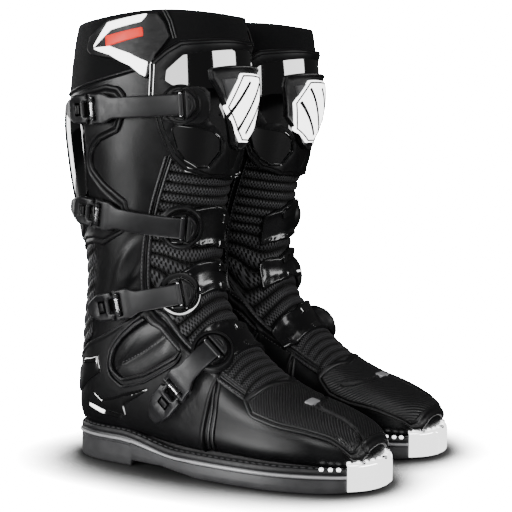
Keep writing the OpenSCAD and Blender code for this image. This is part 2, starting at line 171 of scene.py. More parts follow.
def closed_sheet(outer, inner, ring=False):
    """A closed solid between two grids of points."""
    rows, cols = outer.shape[:2]
    n = rows * cols
    faces = [f[::-1] for f in grid_faces(rows, cols, ring)] + grid_faces(rows, cols, ring, n)
    last = cols if ring else cols - 1
    for j in range(last):
        k = (j + 1) % cols
        faces.append((j, k, n + k, n + j))
        t = (rows - 1) * cols
        faces.append((t + k, t + j, n + t + j, n + t + k))
    if not ring:
        for i in range(rows - 1):
            a, b = i * cols, (i + 1) * cols
            faces.append((b, a, n + a, n + b))
            a, b = a + cols - 1, b + cols - 1
            faces.append((a, b, n + b, n + a))
    return np.concatenate([outer.reshape(-1, 3), inner.reshape(-1, 3)]), faces


def resample(points, spacing, closed=True):
    """The same polyline with evenly spaced points that keep its corners."""
    points = np.asarray(points, float)
    out = []
    n = len(points)
    for i in range(n if closed else n - 1):
        a, b = points[i], points[(i + 1) % n]
        k = max(1, int(round(np.linalg.norm(b - a) / spacing)))
        out.extend(a + (b - a) * j / k for j in range(k))
    if not closed:
        out.append(points[-1])
    return np.array(out)


def rounded(points, radius, steps=5):
    """A closed polygon with its corners rounded. radius is one number or one for each corner."""
    points = np.asarray(points, float)
    n = len(points)
    radii = np.broadcast_to(np.asarray(radius, float), (n,))
    out = []
    for i in range(n):
        p, a, b = points[i], points[i - 1], points[(i + 1) % n]
        u, v = a - p, b - p
        lu, lv = np.linalg.norm(u), np.linalg.norm(v)
        u, v = u / lu, v / lv
        half = math.acos(np.clip(np.dot(u, v), -0.9999, 0.9999)) / 2
        cut = min(radii[i] / math.tan(half), 0.48 * lu, 0.48 * lv)
        if cut < 0.05 or half > 1.5:
            out.append(p)
            continue
        start, end = p + u * cut, p + v * cut
        for k in range(steps + 1):
            t = k / steps
            out.append(start * (1 - t) ** 2 + 2 * p * t * (1 - t) + end * t**2)
    return np.array(out)


def edge_distance(points, loops):
    """Distance of each 2D point to the nearest edge of the closed loops."""
    best = np.full(len(points), 1e9)
    for loop in loops:
        a, b = loop, np.roll(loop, -1, 0)
        ab = b - a
        for i in range(len(a)):
            t = np.clip(((points - a[i]) @ ab[i]) / max(ab[i] @ ab[i], 1e-12), 0, 1)
            q = points - a[i] - t[:, None] * ab[i]
            best = np.minimum(best, np.einsum("ij,ij->i", q, q))
    return np.sqrt(best)


def inside(points, loop):
    """Which 2D points lie in a closed loop."""
    x, y = points[:, 0], points[:, 1]
    odd = np.zeros(len(points), bool)
    for (x0, y0), (x1, y1) in zip(loop, np.roll(loop, -1, 0)):
        if y0 == y1:
            continue
        cross = (y0 > y) != (y1 > y)
        odd ^= cross & (x < (x1 - x0) * (y - y0) / (y1 - y0) + x0)
    return odd


def signed_area(loop):
    x, y = loop[:, 0], loop[:, 1]
    return 0.5 * np.sum(x * np.roll(y, -1) - np.roll(x, -1) * y)


def inset(loop, d):
    """Points of the loop moved inwards by d."""
    e = np.roll(loop, -1, 0) - loop
    e /= np.linalg.norm(e, axis=1, keepdims=True) + 1e-12
    n = np.stack([-e[:, 1], e[:, 0]], 1) * (1 if signed_area(loop) > 0 else -1)
    m = n + np.roll(n, 1, 0)
    m /= np.linalg.norm(m, axis=1, keepdims=True) + 1e-12
    return loop + m * d


def cdt(loops, free):
    """Triangles over closed 2D loops, the first outside and the others holes, with free points in them."""
    ok = inside(free, loops[0])
    for hole in loops[1:]:
        ok &= ~inside(free, hole)
    points = np.concatenate(list(loops) + [free[ok]])
    edges, at = [], 0
    for loop in loops:
        edges += [(at + i, at + (i + 1) % len(loop)) for i in range(len(loop))]
        at += len(loop)
    got = geometry.delaunay_2d_cdt([Vector(p) for p in points], edges, [], 0, 1e-5)
    verts = np.array([tuple(v) for v in got[0]])
    tris = np.array([tuple(f) for f in got[2]])
    middle = verts[tris].mean(1)
    ok = inside(middle, loops[0])
    for hole in loops[1:]:
        ok &= ~inside(middle, hole)
    tris = tris[ok]
    p, q, r = verts[tris[:, 0]], verts[tris[:, 1]], verts[tris[:, 2]]
    area = (q[:, 0] - p[:, 0]) * (r[:, 1] - p[:, 1]) - (q[:, 1] - p[:, 1]) * (r[:, 0] - p[:, 0])
    tris = np.where((area < 0)[:, None], tris[:, ::-1], tris)[np.abs(area) > 1e-6]
    used = np.unique(tris)
    new = np.full(len(verts), -1)
    new[used] = np.arange(len(used))
    return verts[used], new[tris]


def panel(outline, place, top, bottom, holes=(), spacing=(3.0, 3.0), turn=0, rings=(0.4, 1.0, 1.9)):
    """A closed plate over a 2D outline in mm. place(x, y, h) puts points in space; top(d, x, y) and
    bottom(d, x, y) are heights at distance d from the edge. The grid inside it can be stretched and turned."""
    loops = [np.asarray(outline, float)] + [np.asarray(h, float) for h in holes]
    if signed_area(loops[0]) < 0:
        loops[0] = loops[0][::-1]
    for k in range(1, len(loops)):
        if signed_area(loops[k]) > 0:
            loops[k] = loops[k][::-1]
    free = []
    for loop in loops:
        for d in rings:
            ring = inset(loop, d)
            free.append(ring[edge_distance(ring, loops) > d * 0.93])
    c, k = math.cos(math.radians(turn)), math.sin(math.radians(turn))
    spin = np.array([[c, k], [-k, c]])
    flat = loops[0] @ spin.T
    lo, hi = flat.min(0), flat.max(0)
    sx, sy = spacing
    gx, gy = np.meshgrid(np.arange(lo[0], hi[0] + sx, sx), np.arange(lo[1], hi[1] + sy, sy))
    if abs(sx - sy) < 1e-6:
        gx = gx + (np.arange(len(gy)) % 2)[:, None] * sx / 2
    grid = np.stack([gx.ravel(), gy.ravel()], 1) @ spin
    free.append(grid[edge_distance(grid, loops) > (max(rings) if rings else 0) + min(sx, sy) * 0.5])
    verts, tris = cdt(loops, np.concatenate(free))
    d = edge_distance(verts, loops)
    d[d < 1e-4] = 0
    x, y = verts[:, 0], verts[:, 1]
    upper, lower = place(x, y, top(d, x, y)), place(x, y, bottom(d, x, y))
    n = len(verts)
    half = {(int(t[k]), int(t[(k + 1) % 3])) for t in tris for k in range(3)}
    faces = [tuple(int(i) for i in t) for t in tris] + [tuple(int(i) + n for i in t[::-1]) for t in tris]
    faces += [(b, a, a + n, b + n) for a, b in half if (b, a) not in half]
    return np.concatenate([upper, lower]), faces, np.concatenate([verts, verts])


def right_way_out(verts, faces):
    """Turns the faces of a closed mesh so that it has a positive volume."""
    v = np.asarray(verts)
    volume = 0.0
    for f in faces:
        for k in range(1, len(f) - 1):
            volume += np.dot(v[f[0]], np.cross(v[f[k]], v[f[k + 1]]))
    return [f[::-1] for f in faces] if volume < 0 else faces


# ---------------------------------------------------------------- charts of the leather
def chart_table():
    """Stations with the length down the side up to each, and the mm in one degree of each."""
    s = np.arange(0, TOP + 0.01, 0.05)
    side = (leather(s, 90) + leather(s, 0) + leather(s, -90)) / 3
    length = np.concatenate([[0], np.cumsum(np.linalg.norm(np.diff(side, axis=0), axis=1))])
    ring = leather(s[:, None], np.arange(-180, 181, 6)[None, :])
    return s, length, np.linalg.norm(np.diff(ring, axis=1), axis=2).sum(1) / 360


CHART_S, CHART_Y, CHART_K = chart_table()


def chart(points):
    """(station, angle) pairs as x, y in mm on the flattened leather."""
    points = np.asarray(points, float)
    s, a = points[:, 0], points[:, 1]
    return np.stack([a * np.interp(s, CHART_S, CHART_K), np.interp(s, CHART_S, CHART_Y)], 1)


def unchart(x, y):
    s = np.interp(y, CHART_Y, CHART_S)
    return s, x / np.interp(s, CHART_S, CHART_K)


def on_skin(x, y, h):
    s, a = unchart(x, y)
    p = skin(s, a, h)
    p[..., 2] += np.where(s > 15.3, collar_rise(s, a), 0)
    return p


def flat_line(points, spacing=2.0, smooth=True):
    """An open line through (station, angle) points, as evenly spaced x, y on the flattened leather."""
    p = chart(points)
    if smooth and len(p) > 2:
        p = catmull(p, np.linspace(0, len(p) - 1, 12 * (len(p) - 1) + 1))
    step = np.concatenate([[0], np.cumsum(np.linalg.norm(np.diff(p, axis=0), axis=1))])
    t = np.linspace(0, step[-1], max(3, int(step[-1] / spacing)))
    return np.stack([np.interp(t, step, p[:, 0]), np.interp(t, step, p[:, 1])], 1)


def flat_outline(points, radius=3.0, spacing=2.4):
    """A closed outline through (station, angle) points with rounded corners, on the flattened leather."""
    return resample(rounded(chart(points), radius), spacing)


def normals_2d(line):
    d = np.gradient(line, axis=0)
    d /= np.linalg.norm(d, axis=1, keepdims=True) + 1e-12
    return np.stack([-d[:, 1], d[:, 0]], 1)


# ---------------------------------------------------------------- builders
def quarter(d, r):
    """Rise from 0 to 1 along a rounded edge of radius r."""
    t = np.clip(d / r, 0, 1)
    return 0.3 + 0.7 * np.sqrt(np.clip(1 - (1 - t) ** 2, 0, 1))


def ridge(d, at, width):
    """A rounded ridge of that width at distance at."""
    t = np.clip(np.abs(d - at) / (width / 2), 0, 1)
    return np.sqrt(1 - t**2)


def plate(name, outline, material, body, low, high, cad=(), slot=None, edge=1.2, holes=(), radius=3.0,
          shape=None, spacing=(3.2, 3.2), turn=0, rings=(0.4, 1.0, 1.9), blend=False, sharp=40, under=1.5,
          hole_radius=3.0, place=on_skin, flat=False, pattern=None):
    """A moulded plate on the leather between two heights, with rounded edges. shape(d, x, y) is added on top."""
    outer = outline if flat else flat_outline(outline, radius)
    inner = [h if flat else flat_outline(h, hole_radius, 2.0) for h in holes]

    def top(d, x, y):
        h = low + (high - low) * quarter(d, edge)
        return h + shape(d, x, y) if shape else h

    verts, faces, uv = panel(outer, place, top, lambda d, x, y: np.full(len(d), low - under), inner, spacing,
                             turn, rings)
    if pattern:
        uv = pattern(uv)
    new_piece(name, verts, faces, material, body, cad, slot, uv, sharp, blend)
    return outer


def tube_mesh(path, radius, sides=8):
    """A round cord along a 3D path with closed ends."""
    path = np.asarray(path, float)
    t = np.gradient(path, axis=0)
    t /= np.linalg.norm(t, axis=1, keepdims=True) + 1e-12
    r = np.broadcast_to(np.asarray(radius, float), (len(path),))
    up = np.array([0, 0, 1.0]) if abs(t[0][2]) < 0.9 else np.array([1.0, 0, 0])
    rings = []
    for i in range(len(path)):
        up = up - t[i] * (up @ t[i])
        up /= np.linalg.norm(up) + 1e-12
        side = np.cross(t[i], up)
        a = np.arange(sides) * 2 * math.pi / sides
        rings.append(path[i] + r[i] * (np.cos(a)[:, None] * up + np.sin(a)[:, None] * side))
    n = len(path) * sides
    faces = grid_faces(len(path), sides, ring=True)
    faces += [tuple(range(sides))[::-1], tuple(range(n - sides, n))]
    return np.concatenate(rings), faces


def cord_on(points, height, radius, spacing=2.0, smooth=True, shift=0.0):
    line = flat_line(points, spacing, smooth)
    line = line + normals_2d(line) * shift
    return tube_mesh(on_skin(line[:, 0], line[:, 1], np.full(len(line), height)), radius)


def band_on(points, profile, low=-1.5, spacing=2.2, smooth=True):
    """A band along a line on the leather. profile is (sideways, height) pairs across it."""
    line = flat_line(points, spacing, smooth)
    side = normals_2d(line)
    across = np.array(profile, float)
    flat = line[:, None, :] + side[:, None, :] * across[None, :, 0:1]
    h = np.broadcast_to(across[None, :, 1], flat.shape[:2])
    return closed_sheet(on_skin(flat[..., 0], flat[..., 1], h), on_skin(flat[..., 0], flat[..., 1], h * 0 + low))


def capsule(centre, along, up, length, radius, sides=6):
    """One stitch."""
    along, up = along / np.linalg.norm(along), up / np.linalg.norm(up)
    side = np.cross(along, up)
    verts, rows = [], [(-0.5, 0.25), (-0.36, 0.9), (0, 1), (0.36, 0.9), (0.5, 0.25)]
    for x, r in rows:
        for k in range(sides):
            a = 2 * math.pi * k / sides
            verts.append(centre + along * x * length + radius * r * (math.cos(a) * up + math.sin(a) * side))
    n = len(verts)
    faces = grid_faces(len(rows), sides, ring=True) + [tuple(range(sides))[::-1], tuple(range(n - sides, n))]
    return np.array(verts), faces


def stitches_3d(path, ups, length=2.8, gap=1.5, radius=0.38):
    """Stitches along a 3D path."""
    path, ups = np.asarray(path, float), np.asarray(ups, float)
    run = np.concatenate([[0], np.cumsum(np.linalg.norm(np.diff(path, axis=0), axis=1))])
    parts = []
    for t in np.arange(length, run[-1] - length, length + gap):
        p = np.array([np.interp(t, run, path[:, i]) for i in range(3)])
        q = np.array([np.interp(t + 0.5, run, path[:, i]) for i in range(3)])
        u = np.array([np.interp(t, run, ups[:, i]) for i in range(3)])
        parts.append(capsule(p, q - p, u, length, radius))
    return join_parts(parts)


def stitches_on(points, height, shift=0.0, smooth=True, **sizes):
    line = flat_line(points, 1.5, smooth)
    line = line + normals_2d(line) * shift
    s, a = unchart(line[:, 0], line[:, 1])
    return stitches_3d(skin(s, a, np.full(len(s), height)), outwards(s, a), **sizes)


def skin_grid(s, a, top, low):
    """A closed sheet over grids of stations and angles, with its chart for the texture."""
    outer, inner = skin(s, a, top), skin(s, a, np.broadcast_to(low, s.shape))
    verts, faces = closed_sheet(outer, inner)
    xy = np.stack([a * np.interp(s, CHART_S, CHART_K), np.interp(s, CHART_S, CHART_Y)], -1).reshape(-1, 2)
    return verts, faces, np.concatenate([xy, xy])


def lathe(profile, centre, axis, sides=28, squash=None):
    """A turned solid. profile is (radius, height along the axis) pairs from bottom to top."""
    axis = np.asarray(axis, float) / np.linalg.norm(axis)
    u = np.cross(axis, [0.3, 0.2, 0.93])
    u /= np.linalg.norm(u)
    v = np.cross(axis, u)
    a = np.arange(sides) * 2 * math.pi / sides
    ring = np.cos(a)[:, None] * u + np.sin(a)[:, None] * v
    verts = np.concatenate([np.asarray(centre) + ring * max(r, 0.02) + axis * h for r, h in profile])
    n = len(verts)
    faces = grid_faces(len(profile), sides, ring=True) + [tuple(range(sides))[::-1], tuple(range(n - sides, n))]
    return verts, faces


def smooth(t):
    t = np.clip(t, 0, 1)
    return t * t * (3 - 2 * t)


def ripple(x, y, seed=0, scale=12.0):
    """Soft folds, from -1 to 1."""
    rng = np.random.RandomState(seed)
    total = np.zeros(np.shape(x))
    for _ in range(5):
        a, p, f = rng.uniform(0, math.pi), rng.uniform(0, 6.28), rng.uniform(0.6, 1.6) / scale
        total = total + np.sin((np.cos(a) * x + np.sin(a) * y) * 6.28 * f + p)
    return total / 5


# ---------------------------------------------------------------- sole
SOLE = np.array([(0, 152), (-17, 148), (-28, 138), (-37, 117), (-42, 82), (-47, 42), (-53, 0), (-57, -40),
                 (-57, -75), (-51, -105), (-42, -130), (-31, -146), (-18, -155), (0, -158.5), (19, -155),
                 (31, -146), (41, -130), (46, -105), (46, -75), (43, -40), (38, 0), (36, 42), (37, 82),
                 (35, 117), (27, 138), (17, 148)], float)
HEEL_FRONT = 74
GUARD_BACK = -139


def sole_top(y):
    return 16.5 + 10.5 * smooth((np.asarray(y, float) - 20) / 70)


def sole_bottom(y):
    y = np.asarray(y, float)
    return np.interp(y, [-170, -120, 0, 40, HEEL_FRONT, HEEL_FRONT + 1.5, 140, 165], [3, 0, 0, 5, 5, 0, 0, 2])


def sole_loop(spacing=3.0):
    return resample(catmull(SOLE, np.arange(0, len(SOLE), 0.05), closed=True), spacing)


def make_sole():
    loop = sole_loop()
    extra = []
    for i in range(len(loop)):
        a, b = loop[i], loop[(i + 1) % len(loop)]
        extra.append(a)
        for y in (HEEL_FRONT - 0.2, HEEL_FRONT + 1.7):
            if (a[1] - y) * (b[1] - y) < 0:
                extra.append(a + (b - a) * (y - a[1]) / (b[1] - a[1]))
    loop = np.array(extra)
    if signed_area(loop) < 0:
        loop = loop[::-1]
    rows = [(2.0, 0.0), (0.9, 0.03), (0.3, 0.10), (0.25, 0.35), (0.5, 0.6), (0.5, 0.72), (1.3, 0.74), (1.3, 0.77),
            (0.3, 0.79), (0.0, 0.82), (0.0, 0.94), (0.4, 0.985), (1.0, 1.0)]
    rings = []
    for d, t in rows:
        p = inset(loop, d)
        z = sole_bottom(loop[:, 1]) * (1 - t) + sole_top(loop[:, 1]) * t
        rings.append(np.column_stack([p, z]))
    n = len(loop)
    side = grid_faces(len(rows), n, ring=True)

    def tread(points):
        x, y = points[:, 0], points[:, 1]
        d = edge_distance(points, [loop])
        bars = smooth((np.cos((y + 0.5 * np.abs(x)) * 2 * math.pi / 13) - 0.1) / 0.35)
        return sole_bottom(y) + 2.2 * bars * smooth((d - 5) / 2)

    lo, hi = loop.min(0), loop.max(0)
    gx, gy = np.meshgrid(np.arange(lo[0], hi[0], 3.4), np.arange(lo[1], hi[1], 1.7))
    grid = np.stack([gx.ravel(), gy.ravel()], 1)
    base = rings[0][:, :2]
    grid = grid[edge_distance(grid, [base]) > 1.2]
    verts, tris = cdt([base], grid)
    under = np.column_stack([verts, tread(verts)])
    under[:n, 2] = rings[0][:, 2]
    parts = np.concatenate([under] + rings[1:])
    m = len(under)
    faces = [tuple(int(i) for i in t[::-1]) for t in tris]
    faces += [tuple((i if i < n else m + i - n) for i in f) for f in side]
    top = m + (len(rows) - 2) * n
    faces.append(tuple(range(top, top + n)))
    new_piece("outsole", parts, faces, "sole", "foot", ["outsole"], "grey_rubber", sharp=32)

    rim = inset(loop, -0.15)
    z = sole_bottom(loop[:, 1]) * 0.12 + sole_top(loop[:, 1]) * 0.88
    ring = np.column_stack([rim, z])
    ring = np.concatenate([ring, ring[:1]])
    verts, faces = tube_mesh(ring, 1.25, 8)
    new_piece("outsole_rim", verts, faces, "sole_rim", "foot", (), "grey_rubber")


def make_welt():
    loop = sole_loop()
    if signed_area(loop) < 0:
        loop = loop[::-1]
    rows = [(1.2, -0.3), (0.5, 0.6), (0.3, 2.0), (0.5, 3.6), (1.2, 4.7), (2.2, 5.0), (3.4, 4.9), (4.2, 4.4), (5.0, 4.9),
            (6.2, 5.1), (8.8, 4.8), (9.3, -0.3)]
    grid = np.array([np.column_stack([inset(loop, d), sole_top(loop[:, 1]) + h]) for d, h in rows])
    n = len(loop)
    faces = grid_faces(len(rows), n, ring=True)
    faces += [(j, (len(rows) - 1) * n + j, (len(rows) - 1) * n + (j + 1) % n, (j + 1) % n) for j in range(n)]
    new_piece("welt", grid.reshape(-1, 3), faces, "welt", "foot", ["welt"], "welt_rubber")
    path = np.column_stack([inset(loop, 3.9), sole_top(loop[:, 1]) + 4.9])
    verts, faces = stitches_3d(path, np.tile([0, 0, 1.0], (len(path), 1)), 4.4, 2.0, 0.75)
    new_piece("welt_stitches", verts, faces, "thread", "foot", (), "welt_rubber")


def make_footbed():
    loop = inset(sole_loop(4.0), 9.6)
    if signed_area(loop) < 0:
        loop = loop[::-1]

    def top(d, x, y):
        return sole_top(y) + 3.2 + 1.6 * quarter(d, 3.0) + 1.5 * smooth((d - 4) / 18) * 0 + 0.25 * ripple(x, y, 3, 20)

    verts, faces, uv = panel(loop, lambda x, y, h: np.column_stack([x, y, h]), top, lambda d, x, y: sole_top(y) + 0.3,
                             (), (5, 5), 0, (0.8, 2.0))
    new_piece("footbed", verts, faces, "cloth", "foot", ["footbed"], "footbed_foam", uv)
    plan = resample(rounded([(-10, -30), (10, -30), (10, 90), (-10, 90)], 4), 3)
    verts, faces, uv = panel(plan, lambda x, y, h: np.column_stack([x, y, h]),
                             lambda d, x, y: sole_top(y) - 0.5 + 0.3 * quarter(d, 0.8),
                             lambda d, x, y: sole_top(y) - 2.0, (), (4, 4), 0, (0.4, 0.9))
    new_piece("shank", verts, faces, "steel", "foot", ["shank"], "spring_steel", uv)


def make_toe_guard():
    loop = sole_loop(1.2)
    if signed_area(loop) < 0:
        loop = loop[::-1]
    start = int(np.argmax(loop[:, 1]))
    loop = np.roll(loop, -start, 0)
    front = loop[:, 1] < GUARD_BACK
    strip = loop[front]
    run = np.concatenate([[0], np.cumsum(np.linalg.norm(np.diff(strip, axis=0), axis=1))])
    u = run - run[np.argmin(strip[:, 1])]
    e = np.gradient(strip, axis=0)
    e /= np.linalg.norm(e, axis=1, keepdims=True)
    out = np.stack([e[:, 1], -e[:, 0]], 1)
    out *= np.sign((out * (strip - [0, 0])).sum(1))[:, None]
    crease = 1.1 * np.exp(-((u - 12) / 1.6) ** 2)
    ends = smooth((run[-1] / 2 - np.abs(u - (run[0] + run[-1]) / 2 + run[np.argmin(strip[:, 1])])) / 5)
    scallop = np.clip(np.cos(u * 2 * math.pi / 8.6), -0.3, 1)
    rows = []
    for d, z, c, k in [(1.5, 3.0, 0.6, 0), (1.9, 4.4, 1, 0), (2.1, 9, 1, 0), (2.2, 15, 1, 0), (2.1, 20, 1, 0),
                       (1.9, 23.4, 0.8, 0), (1.3, 25.4, 0.4, 0), (0.3, 26.4, 0, 0), (-1.2, 26.7, 0, 0.4),
                       (-2.4, 26.9, 0, 1.0)]:
        p = strip + out * (d + c * crease - k * 1.5 * scallop)[:, None]
        rows.append(np.column_stack([p, np.full(len(p), z) + k * 0.7 * scallop]))
    outer = np.array(rows)
    rows = []
    for d, z, k in [(0.3, 3.0, 0), (0.3, 4.4, 0), (0.3, 9, 0), (0.3, 15, 0), (0.3, 20, 0), (0.3, 22.6, 0),
                    (0.2, 23.9, 0), (-0.4, 24.6, 0), (-1.4, 24.9, 0.4), (-2.4, 25.1, 1.0)]:
        p = strip + out * (d - k * 1.5 * scallop)[:, None]
        rows.append(np.column_stack([p, np.full(len(p), z)]))
    verts, faces = closed_sheet(outer, np.array(rows))
    new_piece("toe_guard", verts, faces, "chrome", "foot", ["toe_guard"], "toe_metal", sharp=50)
    lugs = []
    for t in np.arange(run[0] + 2, run[-1] - 1, 8.6):
        i = int(np.argmin(abs(run - t)))
        c = np.array([*(strip[i] - out[i] * 2.9), 26.7])
        lugs.append(lathe([(1.6, -2.4), (1.9, 0.0), (1.75, 0.7), (1.1, 1.3), (0.3, 1.5)], c, (0, 0, 1), 14))
    for side in (-1, 1):
        for k in range(3):
            y = -133 + 6.5 * k
            near = loop[(np.sign(loop[:, 0]) == side) & (loop[:, 1] < -60)]
            i = int(np.argmin(abs(near[:, 1] - y)))
            p = near[i]
            c = np.array([p[0] - side * 1.8, p[1], 21.4])
            lugs.append(lathe([(1.9, -1.4), (2.1, 0.3), (1.5, 1.2), (0.4, 1.6)], c, (0, 0, 1), 14))
    verts, faces = join_parts(lugs)
    new_piece("toe_guard_lugs", verts, faces, "chrome", "foot", (), "toe_metal")
    screws = []
    for x, y in ((-26, -149.6), (0, -158), (26, -149.6)):
        screws.append(lathe([(2.3, -1.0), (2.3, 0.5), (1.9, 1.1), (1.2, 1.3), (1.1, 0.8), (0.3, 0.8)],
                            (x, y, 26.7), (0, 0, 1), 20))
    verts, faces = join_parts(screws)
    new_piece("toe_screws", verts, faces, "steel", "foot", ["toe_screws"], "screw_steel")


# ---------------------------------------------------------------- leather and gaiter
def welt_angle(s, side):
    """Angle at which the leather meets the top of the welt."""
    a = np.arange(90, 180.1, 0.5)
    p = leather(s, side * a)
    above = p[:, 2] > sole_top(p[:, 1]) + 4.2
    return a[-1] if above.all() else a[max(0, int(np.argmin(above)) - 1)]


SHAFT_TOP = 15.12


def make_vamp():
    s = np.concatenate([np.linspace(0, 1.2, 12), np.linspace(1.3, 5.66, 56)])
    out = np.array([welt_angle(v, 1) for v in s])
    inn = np.array([welt_angle(v, -1) for v in s])
    j = np.linspace(0, 1, 91)
    a = -inn[:, None] * (1 - j) + out[:, None] * j
    ss = np.broadcast_to(s[:, None], a.shape)
    x, y = a * np.interp(ss, CHART_S, CHART_K), np.interp(ss, CHART_S, CHART_Y)
    h = 0.3 * ripple(x, y, 5, 80)
    outer, inner = skin(ss, a, h), skin(ss, a, np.full(a.shape, -3.6))
    tip = np.array([0, -152.5, 26.0])
    lead_out = np.array([tip + (outer[0] - tip) * f for f in (0.02, 0.5, 0.85)])
    lead_in = np.array([tip + [0, 3, 0] + (inner[0] - tip - [0, 3, 0]) * f for f in (0.02, 0.5, 0.85)])
    verts, faces = closed_sheet(np.concatenate([lead_out, outer]), np.concatenate([lead_in, inner]))
    n = len(verts) // 2
    uv = np.stack([x, y], -1)
    uv = np.concatenate([np.repeat(uv[:1], 3, 0), uv]).reshape(-1, 2)
    new_piece("vamp_leather", verts, faces, "leather", "foot", ["vamp"], "black_leather", np.concatenate([uv, uv]))


BAND = [(12.9, 61), (12.72, 63), (12.04, 70), (11.5, 73), (10.96, 74), (9.92, 73), (8.9, 71), (7.88, 67), (7.1, 64),
        (6.4, 60), (5.9, 56), (5.4, 53), (4.98, 51)]


def band_angle(s):
    """Angle of the edge band's middle line at a station."""
    return np.interp(s, [q[0] for q in BAND[::-1]], [q[1] for q in BAND[::-1]])


def make_side_leather():
    s = np.concatenate([np.linspace(5.5, 8.6, 44), np.linspace(8.68, SHAFT_TOP, 84)])
    for side, name in ((1, "outer"), (-1, "inner")):
        low = np.array([welt_angle(v, side) for v in s])
        low[s >= 8.6] = 180
        j = np.linspace(0, 1, 61)
        a = (band_angle(s) - 2)[:, None] * (1 - j) + low[:, None] * j
        ss = np.broadcast_to(s[:, None], a.shape)
        x, y = a * np.interp(ss, CHART_S, CHART_K), np.interp(ss, CHART_S, CHART_Y)

        def pad(cs, ca, rs, ra, rise):
            r = np.sqrt(((ss - cs) / rs) ** 2 + ((a - ca) / ra) ** 2)
            return rise * smooth((1 - r) / 0.55)

        h = 0.35 * ripple(x, y, 11 + side, 90)
        sx, sy = chart([(8.62, 104), (7.7, 75)]).T
        across = np.array([sy[0] - sy[1], sx[1] - sx[0]]) / math.hypot(sx[1] - sx[0], sy[1] - sy[0])
        v = (np.abs(x) - sx[0]) * across[0] + (y - sy[0]) * across[1]
        roll = np.sqrt(np.clip(1 - ((np.abs(v) - 7.5) / 8.2) ** 2, 0, 1)) - 0.35
        h = h + 3.4 * roll * pad(8.0, 86, 1.5, 34, 1.0)
        h = h + pad(11.05, 88, 0.62, 20, 1.6) + pad(12.6, 98, 1.7, 26, 1.0)
        fold = np.clip(np.sin(y * 2 * math.pi / 9 + a * 0.02), 0, 1) ** 2
        h = h - 0.5 * fold * np.exp(-((ss - 10.4) / 0.8) ** 2) * smooth((a - 100) / 20)
        if side < 0:
            a = -a
        verts, faces, uv = skin_grid(ss, a, h, -3.6)
        new_piece("leather_" + name, verts, faces, "leather", "shaft", ["shaft_leather"] if side > 0 else (),
                  "black_leather", uv, blend=True)


